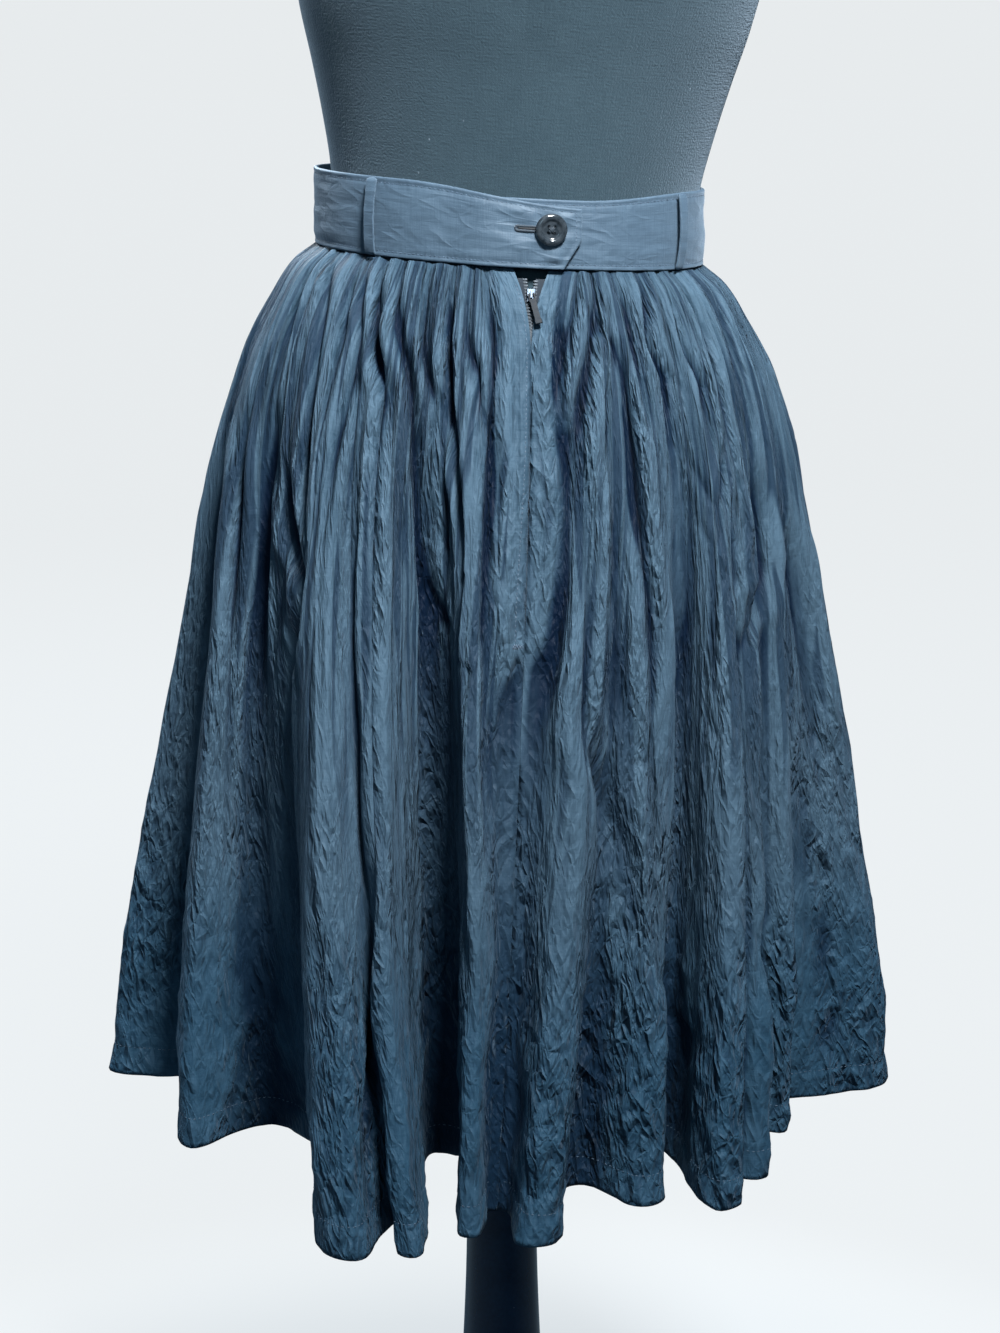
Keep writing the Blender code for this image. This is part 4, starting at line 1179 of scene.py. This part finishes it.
class Nodes:
    """Adds nodes to one tree. A value is a number, a tuple or a node's output."""

    def __init__(self, tree):
        self.tree = tree

    def join(self, value, socket):
        """Links a node's output to a socket, or sets the socket to a value."""
        if isinstance(value, bpy.types.NodeSocket):
            self.tree.links.new(value, socket)
        else:
            socket.default_value = value

    def add(self, kind, settings=None, values=(), **inputs):
        """A node with its settings, its first inputs in order and the others by name."""
        made = self.tree.nodes.new(kind)
        for name, value in (settings or {}).items():
            setattr(made, name, value)
        for number, value in enumerate(values):
            self.join(value, made.inputs[number])
        for name, value in inputs.items():
            self.join(value, made.inputs[name.replace("_", " ")])
        return made

    def maths(self, operation, *values):
        return self.add("ShaderNodeMath", {"operation": operation}, values).outputs[0]

    def times(self, first, second):
        return self.maths("MULTIPLY", first, second)

    def layers(self, start, *pairs):
        """A start plus each layer's height times its size."""
        for height, size in pairs:
            start = self.maths("MULTIPLY_ADD", height, size, start)
        return start

    def vector(self, operation, *values):
        return self.add("ShaderNodeVectorMath", {"operation": operation}, values).outputs[0]

    def ramp(self, value, low, high, bottom=0.0, top=1.0):
        """A soft step from bottom, where the value is low, to top, where it is high."""
        values = (value, low, high, bottom, top)
        made = self.add("ShaderNodeMapRange", {"interpolation_type": "SMOOTHSTEP"}, values)
        return made.outputs["Result"]

    def mix(self, share, first, second):
        """A colour between two, the second where the share is 1."""
        made = self.add("ShaderNodeMix", {"data_type": "RGBA"})
        for number, value in ((0, share), (6, first), (7, second)):
            self.join((*value, 1.0) if isinstance(value, tuple) else value, made.inputs[number])
        return made.outputs[2]

    def noise(self, place, scale, detail, **inputs):
        made = self.add("ShaderNodeTexNoise", Vector=place, Scale=scale, Detail=detail, **inputs)
        return made.outputs["Fac"]

    def mapped(self, place, scale, turn=0.0, kind="POINT"):
        """Places scaled along two axes and turned; a TEXTURE mapping draws a pattern out."""
        settings = {"vector_type": kind}
        inputs = {"Vector": place, "Rotation": (0.0, 0.0, turn), "Scale": (*scale, 1.0)}
        return self.add("ShaderNodeMapping", settings, **inputs).outputs[0]

    def group(self, group, **inputs):
        return self.add("ShaderNodeGroup", {"node_tree": group}, **inputs).outputs

    def cloth_place(self):
        return self.add("ShaderNodeUVMap", {"uv_map": "cloth_metres"}).outputs[0]

    def object_place(self):
        return self.add("ShaderNodeTexCoord").outputs["Object"]


def new_group(name, inputs, outputs):
    """A shader node group, its nodes, its inputs by number and its end node."""
    tree = bpy.data.node_groups.new(name, "ShaderNodeTree")
    tree.interface.new_socket("Place", in_out="INPUT", socket_type="NodeSocketVector")
    for label, value in inputs:
        socket = tree.interface.new_socket(label, in_out="INPUT", socket_type="NodeSocketFloat")
        socket.default_value = value
    for label in outputs:
        tree.interface.new_socket(label, in_out="OUTPUT", socket_type="NodeSocketFloat")
    nodes = Nodes(tree)
    start, end = nodes.add("NodeGroupInput"), nodes.add("NodeGroupOutput")
    return tree, nodes, start.outputs, end.inputs


def crumple_group():
    """Sharp creases: the distances of two soft noises from their middle values.

    The places are first bent by a third noise, and the two noises are drawn out
    along two leaning lines that cross. The height is half the second distance
    less the smaller of the two, so ridges and valleys are both sharp.
    """
    inputs = (("Per Metre", 80.0), ("Bend", 0.8), ("Seed", 0.0))
    tree, nodes, start, end = new_group("sharp_creases", inputs, ["Height"])
    place, scale, bend, seed = start[:4]
    seeds = nodes.add("ShaderNodeCombineXYZ", X=seed, Z=seed).outputs[0]
    shifted = nodes.vector("ADD", place, seeds)
    coarse = nodes.times(scale, 0.8)
    wander = nodes.add("ShaderNodeTexNoise", Vector=shifted, Scale=coarse, Detail=1.0)
    centred = nodes.vector("SUBTRACT", wander.outputs["Color"], (0.5, 0.5, 0.5))
    stretch = nodes.add("ShaderNodeVectorMath", {"operation": "SCALE"}, (centred,))
    nodes.join(nodes.maths("DIVIDE", bend, scale), stretch.inputs["Scale"])
    moved = nodes.vector("ADD", shifted, stretch.outputs[0])
    leaning = nodes.mapped(moved, (0.8, 2.2), 0.5, "TEXTURE")
    apart = nodes.vector("ADD", moved, (3.1, 1.7, 5.0))
    crossing = nodes.mapped(apart, (0.8, 1.9), -0.65, "TEXTURE")
    noise = nodes.noise(leaning, scale, 0.5, Roughness=0.45)
    other = nodes.noise(crossing, coarse, 0.5, Roughness=0.45)
    up = nodes.maths("ABSOLUTE", nodes.maths("SUBTRACT", noise, 0.5))
    down = nodes.maths("ABSOLUTE", nodes.maths("SUBTRACT", other, 0.5))
    sharp = nodes.maths("MINIMUM", up, nodes.times(down, 1.2))
    nodes.join(nodes.maths("SUBTRACT", nodes.times(down, 0.5), sharp), end["Height"])
    return tree


def weave_group():
    """A plain weave: two crossed waves, and slubs that run with the threads."""
    inputs, outputs = [("Threads Per Metre", 1600.0)], ["Height", "Slub"]
    tree, nodes, start, end = new_group("plain_weave", inputs, outputs)
    place, threads = start[:2]
    apart = nodes.add("ShaderNodeSeparateXYZ", Vector=place).outputs
    angle = nodes.times(threads, math.pi)
    across, down = [nodes.maths("SINE", nodes.times(apart[axis], angle)) for axis in "XY"]
    nodes.join(nodes.times(across, down), end["Height"])
    threads_along = ((900.0, 60.0), (60.0, 900.0))
    slub_x, slub_y = [nodes.noise(nodes.mapped(place, each), 1.0, 2.0) for each in threads_along]
    nodes.join(nodes.times(slub_x, nodes.times(slub_y, 2.0)), end["Slub"])
    return tree


def lint_group():
    """Specks of lint: small dots round a few of many strewn points."""
    inputs = (("Per Metre", 60.0), ("Share", 0.2))
    tree, nodes, start, end = new_group("lint_specks", inputs, ["Mask"])
    place, scale, share = start[:3]
    dots = nodes.add("ShaderNodeTexVoronoi", {"feature": "F1"}, Vector=place, Scale=scale)
    dot = nodes.ramp(dots.outputs["Distance"], 0.10, 0.03)
    chosen = nodes.add("ShaderNodeSeparateColor", Color=dots.outputs["Color"]).outputs[0]
    nodes.join(nodes.times(dot, nodes.maths("LESS_THAN", chosen, share)), end["Mask"])
    return tree


class Finish(Nodes):
    """A material with one Principled shader, and what its colour and relief come from."""

    def __init__(self, name, colour, roughness, **inputs):
        self.material = bpy.data.materials.new(name)
        self.material.use_nodes = True
        super().__init__(self.material.node_tree)
        self.shader = self.tree.nodes["Principled BSDF"]
        self.set(Base_Color=(*colour, 1.0), Roughness=roughness, **inputs)

    def set(self, **inputs):
        for label, value in inputs.items():
            self.join(value, self.shader.inputs[label.replace("_", " ")])

    def bump(self, height, distance=1.0):
        made = self.add("ShaderNodeBump", Height=height, Distance=distance, Strength=1.0)
        self.set(Normal=made.outputs["Normal"])


CRUMPLE = crumple_group()
WEAVE = weave_group()
LINT = lint_group()
# The silk's colours: deep and light are its own uneven tone; the crest colour is a painted
# highlight; the hem, valley, crease and pinch colours are painted shade.
SILK_DEEP, SILK_LIGHT = (0.025, 0.054, 0.082), (0.053, 0.094, 0.134)
SILK_CREST_HIGHLIGHT, SILK_HEM_SHADE = (0.068, 0.117, 0.163), (0.011, 0.061, 0.114)
SILK_VALLEY_SHADE, SILK_CREASE_SHADE = (0.006, 0.020, 0.042), (0.004, 0.015, 0.035)
SILK_PINCH_SHADE = (0.001, 0.007, 0.021)
SILK_SHEEN = {"Sheen_Weight": 0.06, "Sheen_Roughness": 0.4, "Sheen_Tint": (0.45, 0.70, 1.0, 1.0)}
BAND_SHEEN = {"Sheen_Weight": 0.25, "Sheen_Roughness": 0.5, "Sheen_Tint": (0.62, 0.78, 0.95, 1.0)}
FORM_SHEEN = {"Sheen_Weight": 0.35, "Sheen_Roughness": 0.6, "Sheen_Tint": (0.6, 0.75, 0.9, 1.0)}


def silk_finish():
    """Washed silk: crumpled facets, upright creases above, a weave and uneven dye.

    The crumple grows down the cloth. The dye varies at random, with light and
    shade painted into it: a painted highlight on fold crests and in the middle,
    painted shade darker and bluer by the hem, and painted shade in valleys, in
    creases and where folds are pinched.
    """
    made = Finish("crumpled_silk", SILK_LIGHT, 0.5, **SILK_SHEEN, Specular_IOR_Level=0.12)
    uv = made.cloth_place()
    down = made.add("ShaderNodeSeparateXYZ", Vector=uv).outputs["Y"]
    tall = made.mapped(uv, (1.0, 0.70))
    large, small, fine = [
        made.group(CRUMPLE, Place=tall, Per_Metre=scale, Bend=bend, Seed=seed)["Height"]
        for scale, bend, seed in ((48.0, 0.45, 0.3), (120.0, 0.35, 1.7), (220.0, 0.3, 4.7))
    ]
    drawn = made.mapped(uv, (1.0, 0.17), 0.05)
    upright = made.group(CRUMPLE, Place=drawn, Per_Metre=32.0, Bend=0.6, Seed=3.1)["Height"]
    patches = made.noise(made.mapped(uv, (13.0, 5.0)), 1.0, 2.0)
    lively = made.ramp(down, -0.16, -0.46, 1.0, 1.9)
    lively = made.times(lively, made.ramp(patches, 0.40, 0.60, 0.35, 1.0))
    weave = made.group(WEAVE, Place=uv, Threads_Per_Metre=2200.0)
    slub = weave["Slub"]
    relief = made.layers(made.times(large, 0.0150), (small, 0.0085), (fine, 0.0030))
    tall_size = made.ramp(down, -0.26, -0.46, 0.0150, 0.0045)
    relief = made.maths("ADD", made.times(relief, lively), made.times(upright, tall_size))
    made.bump(made.layers(relief, (weave["Height"], 0.00003), (slub, 0.00012)))
    cloud = made.noise(uv, 9.0, 3.0)
    crest = made.ramp(small, -0.05, 0.05)
    # A random tone from clouds and slubs, lighter on the crumple's ridges.
    tone = made.layers(made.times(cloud, 0.9), (crest, 0.25), (slub, 0.70))
    upper = made.ramp(down, -0.44, -0.22)
    # Painted shade in the upright creases' valleys above and in the crumple's valleys below.
    valley = made.times(made.ramp(upright, -0.012, -0.050), made.times(upper, 0.75))
    crumple_shade = made.times(made.ramp(small, -0.012, -0.050), made.times(lively, 0.22))
    # fold_rise places painted shade in valleys and painted highlight on crests.
    rise = made.add("ShaderNodeAttribute", {"attribute_name": "fold_rise"}).outputs["Fac"]
    # Painted highlight: crests that rise over the cloth round them are paler in the upper part.
    crest_highlight = made.times(made.ramp(rise, 0.0002, 0.0016), made.times(upper, 0.8))
    # Painted shade where folds are pinched, in the upper part.
    pinched = made.times(made.ramp(rise, -0.0011, -0.0027), made.ramp(down, -0.36, -0.20))
    # Painted light: the middle of the length is paler, and its valleys take less painted shade.
    middle = made.times(made.ramp(down, -0.50, -0.34, 0.0, 0.6), made.ramp(down, -0.10, -0.20))
    clear_of_valley_shade = made.maths("MAXIMUM", made.ramp(rise, -0.0030, 0.0004), made.times(middle, 0.8))
    paler = made.maths("MAXIMUM", crest_highlight, middle)
    paler = made.times(paler, made.ramp(slub, 0.15, 0.60, 0.80, 1.20))
    dye_and_painted_light = made.mix(made.ramp(tone, 0.45, 1.25), SILK_DEEP, SILK_LIGHT)
    dye_and_painted_light = made.mix(paler, dye_and_painted_light, SILK_CREST_HIGHLIGHT)
    # Painted shade: darker and bluer towards the hem.
    dye_and_painted_light = made.mix(made.ramp(down, -0.34, -0.50, 0.0, 0.45), dye_and_painted_light, SILK_HEM_SHADE)
    # Painted shade in the valleys of the folds, where the cloth sinks below the cloth round it.
    dye_and_painted_light = made.mix(clear_of_valley_shade, SILK_VALLEY_SHADE, dye_and_painted_light)
    dye_and_painted_light = made.mix(made.maths("MAXIMUM", valley, crumple_shade), dye_and_painted_light, SILK_CREASE_SHADE)
    dye_and_painted_light = made.mix(pinched, dye_and_painted_light, SILK_PINCH_SHADE)
    made.set(Base_Color=dye_and_painted_light, Roughness=made.ramp(tone, 0.5, 1.25, 0.66, 0.52))
    return made.material


def band_finish():
    """The same silk pressed flat, with faint creases along the band."""
    made = Finish("band_silk", (0.085, 0.14, 0.20), 0.58, **BAND_SHEEN)
    uv = made.cloth_place()
    long = made.mapped(uv, (0.35, 1.0))
    creases = made.group(CRUMPLE, Place=long, Per_Metre=110.0, Bend=1.0, Seed=0.9)["Height"]
    weave = made.group(WEAVE, Place=uv, Threads_Per_Metre=2200.0)
    relief = made.times(creases, 0.0020)
    made.bump(made.layers(relief, (weave["Height"], 0.00003), (weave["Slub"], 0.00014)))
    tone = made.layers(made.times(made.noise(uv, 26.0, 4.0), 0.8), (weave["Slub"], 0.5))
    dye = made.ramp(tone, 0.2, 1.0)
    made.set(Base_Color=made.mix(dye, (0.041, 0.073, 0.110), (0.071, 0.116, 0.162)))
    return made.material


def form_finish():
    """Jersey with a fine fuzz, cloudy shade and a few specks of lint."""
    made = Finish("form_jersey", (0.03, 0.05, 0.07), 0.9, **FORM_SHEEN, Specular_IOR_Level=0.2)
    uv = made.cloth_place()
    weave = made.group(WEAVE, Place=uv, Threads_Per_Metre=1500.0)
    lint = made.group(LINT, Place=uv, Per_Metre=110.0, Share=0.10)["Mask"]
    fuzz = made.noise(uv, 700.0, 2.0)
    relief = made.times(weave["Height"], 0.00004)
    made.bump(made.layers(relief, (weave["Slub"], 0.00020), (fuzz, 0.00050)))
    grain = made.times(made.maths("SUBTRACT", fuzz, 0.5), 0.9)
    cloud = made.maths("ADD", made.noise(uv, 14.0, 4.0), grain)
    tone = made.layers(made.times(cloud, 0.6), (weave["Slub"], 0.5))
    cloth = made.mix(made.ramp(tone, 0.2, 1.0), (0.011, 0.028, 0.038), (0.029, 0.054, 0.068))
    made.set(Base_Color=made.mix(made.times(lint, 0.5), cloth, (0.30, 0.36, 0.42)))
    return made.material


def hard_finish(name, deep, light, rough_low, rough_high, grain, **inputs):
    """A hard finish with fine wear: its colour and gloss vary with two noises."""
    made = Finish(name, light, rough_low, **inputs)
    place = made.object_place()
    fine = made.noise(place, grain * 9, 2.0)
    share = made.layers(made.times(made.noise(place, grain, 4.0), 0.65), (fine, 0.35))
    made.set(
        Base_Color=made.mix(made.ramp(share, 0.3, 0.7), deep, light),
        Roughness=made.ramp(share, 0.3, 0.75, rough_low, rough_high),
    )
    made.bump(fine, 0.00002)
    return made.material


def thread_finish(name, deep, light):
    """Thread, whose colour and relief follow a fine twist."""
    made = Finish(name, light, 0.6, Sheen_Weight=0.2)
    twist = made.noise(made.object_place(), 2600.0, 1.0)
    made.set(Base_Color=made.mix(made.ramp(twist, 0.35, 0.65), deep, light))
    made.bump(twist, 0.00005)
    return made.material


def tape_finish():
    """Woven tape, paler along its slubs."""
    made = Finish("zip_tape_cloth", (0.02, 0.035, 0.055), 0.85, Sheen_Weight=0.15)
    weave = made.group(WEAVE, Place=made.cloth_place(), Threads_Per_Metre=1800.0)
    made.bump(made.times(weave["Height"], 0.00006))
    made.set(Base_Color=made.mix(weave["Slub"], (0.004, 0.009, 0.016), (0.012, 0.022, 0.034)))
    return made.material


# The hard finishes: deep and light colour, lowest and highest roughness, grain per metre
HARD = {
    "button_plastic": ((0.010, 0.015, 0.020), (0.045, 0.055, 0.065), 0.10, 0.20, 300.0),
    "zip_metal": ((0.02, 0.03, 0.04), (0.10, 0.12, 0.15), 0.30, 0.48, 700.0),
    "pull_metal": ((0.004, 0.007, 0.011), (0.012, 0.018, 0.025), 0.55, 0.70, 700.0),
    "dark_zip_teeth": ((0.010, 0.015, 0.021), (0.035, 0.045, 0.055), 0.40, 0.60, 700.0),
    "stand_lacquer": ((0.002, 0.014, 0.037), (0.004, 0.024, 0.060), 0.18, 0.28, 40.0),
}
GLOSS = {
    "button_plastic": {"Coat_Weight": 0.5},
    "zip_metal": {"Metallic": 1.0},
    "pull_metal": {"Specular_IOR_Level": 0.25},
    "dark_zip_teeth": {"Metallic": 0.5},
}
THREADS = {
    "sewing_thread": ((0.03, 0.055, 0.09), (0.08, 0.13, 0.19)),
    "slit_shadow": ((0.001, 0.002, 0.004), (0.003, 0.005, 0.008)),
    "buttonhole_thread": ((0.008, 0.015, 0.025), (0.03, 0.05, 0.07)),
}
FINISH = {
    "silk": silk_finish(),
    "band_cloth": band_finish(),
    "form_cloth": form_finish(),
    "tape": tape_finish(),
    **{name: thread_finish(name, *colours) for name, colours in THREADS.items()},
    **{name: hard_finish(name, *row, **GLOSS.get(name, {})) for name, row in HARD.items()},
}


def skirt_cloth():
    """The four panels of cloth, each a thin shell cut from the one grid."""
    made = []
    points, places, rise = cloth_grid()
    for number, (name, node, width) in enumerate(PANELS):
        cut = slice(number * PANEL_COLUMNS, (number + 1) * PANEL_COLUMNS + 1)
        mesh = grid_mesh(name, points[:, cut], places[:, cut])
        # fold_rise carries the rise that places the silk's painted shade and painted highlight.
        layer = mesh.attributes.new("fold_rise", "FLOAT", "POINT")
        layer.data.foreach_set("value", rise[:, cut].astype(np.float32).ravel())
        obj = add_piece(name, mesh, FINISH["silk"], stands_for=[node])
        add_wall(obj, CLOTH_WALL)
        made.append((obj, width))
    return made


def button():
    """A turned button with a raised rim, four holes through its sunken middle."""
    radius, thick = BUTTON_DIAMETER / 2, BUTTON_THICKNESS
    profile = (
        (radius * 0.30, thick * 0.60),
        (radius * 0.48, thick * 0.62),
        (radius * 0.60, thick * 0.80),
        (radius * 0.68, thick * 0.97),
        (radius * 0.80, thick),
        (radius * 0.92, thick * 0.86),
        (radius * 0.99, thick * 0.60),
        (radius, thick * 0.45),
        (radius * 0.93, thick * 0.12),
        (radius * 0.80, 0.0),
    )
    turned = band_frame(BUTTON_AT, 0.5, LAP_RISE + 0.0006)
    slot = "button_plastic"
    finish = FINISH[slot]
    obj = turned_piece("button_four_hole", profile, 96, finish, "button", turned, 60)
    cutters = []
    drill = ((BUTTON_HOLE / 2, -thick), (BUTTON_HOLE / 2, 2 * thick))
    reach = BUTTON_HOLE_PITCH / math.sqrt(2)
    for quarter in (45, 135, 225, 315):
        turn = math.radians(quarter)
        middle = np.eye(4)
        middle[:3, 3] = (reach * math.cos(turn), reach * math.sin(turn), 0.0)
        points, places = turned_surface(drill, 24, 2)
        mesh = closed_mesh("button_hole", placed(points, turned @ middle), places)
        cutter = add_object("button_hole", mesh)
        cutters.append(cutter)
        cut = obj.modifiers.new("hole", "BOOLEAN")
        cut.operation = "DIFFERENCE"
        cut.object = cutter
    bpy.context.view_layer.update()
    seen = obj.evaluated_get(bpy.context.evaluated_depsgraph_get())
    cut_mesh = bpy.data.meshes.new_from_object(seen)
    obj.modifiers.clear()
    obj.data = cut_mesh
    obj.data.shade_smooth()
    obj.data.set_sharp_from_angle(angle=math.radians(40))
    for cutter in cutters:
        bpy.data.objects.remove(cutter, do_unlink=True)
    return obj


def backdrop():
    """A flat pale floor. It throws little light up, and nothing from below hides.

    Seen straight on it is paper that is paler further from the stand; a ray that
    left another surface finds it dark; from underneath it is clear.
    """
    reach = np.linspace(-FLOOR_REACH, FLOOR_REACH, 3)
    points = stacked(reach[None, :], reach[:, None], 0.0)[::-1]
    mesh = grid_mesh("studio_floor", points, points[..., :2])
    made = Finish("studio_paper", (0.60, 0.62, 0.63), 0.9, Specular_IOR_Level=0.0)
    away = made.add("ShaderNodeVectorMath", {"operation": "LENGTH"}, (made.object_place(),))
    far = made.ramp(away.outputs["Value"], 0.30, 0.80)
    seen = made.add("ShaderNodeLightPath").outputs["Is Camera Ray"]
    paper = made.mix(far, (0.24, 0.250, 0.254), (0.03, 0.031, 0.032))
    glow = made.times(seen, made.ramp(far, 0.0, 1.0, 0.64, 1.0))
    made.set(
        Base_Color=made.mix(seen, (0.10, 0.13, 0.15), paper),
        Emission_Color=made.mix(glow, (0.0, 0.0, 0.0), PAPER_GLOW),
        Emission_Strength=1.0,
    )
    clear = made.add("ShaderNodeBsdfTransparent").outputs[0]
    below = made.add("ShaderNodeNewGeometry").outputs["Backfacing"]
    sides = made.add("ShaderNodeMixShader", None, (below, made.shader.outputs[0], clear))
    made.join(sides.outputs[0], made.tree.nodes["Material Output"].inputs["Surface"])
    mesh.materials.append(made.material)
    add_object("studio_floor", mesh)


def light(name, place, aim, size, power, colour, spread=180.0):
    """A soft rectangular light that faces its aim. The camera doesn't see it."""
    data = bpy.data.lights.new(name, "AREA")
    data.shape = "RECTANGLE"
    data.size, data.size_y = size
    data.energy = power
    data.spread = math.radians(spread)
    data.color = colour
    obj = add_object(name, data)
    obj.visible_camera = False
    obj.location = place
    obj.rotation_euler = (Vector(aim) - Vector(place)).to_track_quat("-Z", "Y").to_euler()


def studio():
    """The floor, pale air that only the camera sees, dim blue air, and three lights."""
    backdrop()
    world = bpy.data.worlds.new("studio_air")
    bpy.context.scene.world = world
    world.use_nodes = True
    nodes = Nodes(world.node_tree)
    air = world.node_tree.nodes["Background"]
    air.inputs["Color"].default_value = (0.42, 0.70, 1.0, 1.0)
    air.inputs["Strength"].default_value = 0.12
    paper = nodes.add("ShaderNodeBackground", Color=(*PAPER_GLOW, 1.0), Strength=1.0).outputs[0]
    seen = nodes.add("ShaderNodeLightPath").outputs["Is Camera Ray"]
    both = nodes.add("ShaderNodeMixShader", None, (seen, air.outputs[0], paper))
    nodes.join(both.outputs[0], world.node_tree.nodes["World Output"].inputs["Surface"])
    middle = (0.0, 0.0, 1.19)
    light("key", (0.45, -1.35, 2.60), middle, (0.45, 0.35), 18.5, (0.93, 0.97, 1.0), 64.0)
    light("fill", (-0.5, -2.8, 1.9), (0.0, 0.0, 1.05), (0.9, 0.7), 9.0, (0.54, 0.82, 1.0))
    wash = (0.80, 0.91, 1.0)
    light("back_wash", (-1.3, 2.5, 2.5), (0.0, 0.0, 0.9), (2.6, 1.4), 170.0, wash)


def camera():
    """The photo's point of view, in front of the skirt and tilted down."""
    data = bpy.data.cameras.new("photo_view")
    data.lens = CAMERA_LENS
    data.sensor_width = 36.0
    obj = add_object("photo_view", data)
    obj.location = CAMERA_PLACE
    obj.rotation_euler = (math.radians(90 - CAMERA_TILT), 0.0, 0.0)
    bpy.context.scene.camera = obj
    bpy.context.scene.view_settings.view_transform = "Standard"


camera()
studio()
panels = skirt_cloth()
band = waistband()
band_pieces = [belt_loop(number, degrees) for number, degrees in enumerate(LOOP_ANGLES, 1)]
band_pieces += [band_stitching(), *buttonhole()]
zip_right = zip_tape("zip_tape_right", 1)
zip_left = zip_tape("zip_tape_left", -1)
button()
band_pieces.append(button_thread())
sewn = {0: zip_right, 3: [*zip_left, *placket_stitching()]}
hems = [hem_stitching(number + 1, number / 4, (number + 1) / 4) for number in range(4)]
dress_form()
for name, profile, sides in (("pole", POLE_PROFILE, 96), ("base", BASE_PROFILE, 128)):
    finish = FINISH["stand_lacquer"]
    turned_piece(f"stand_{name}", profile, sides, finish, name)
for node, finish in CAD_FINISHES:
    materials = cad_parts[node].data.materials
    materials.clear()
    materials.append(FINISH[finish])
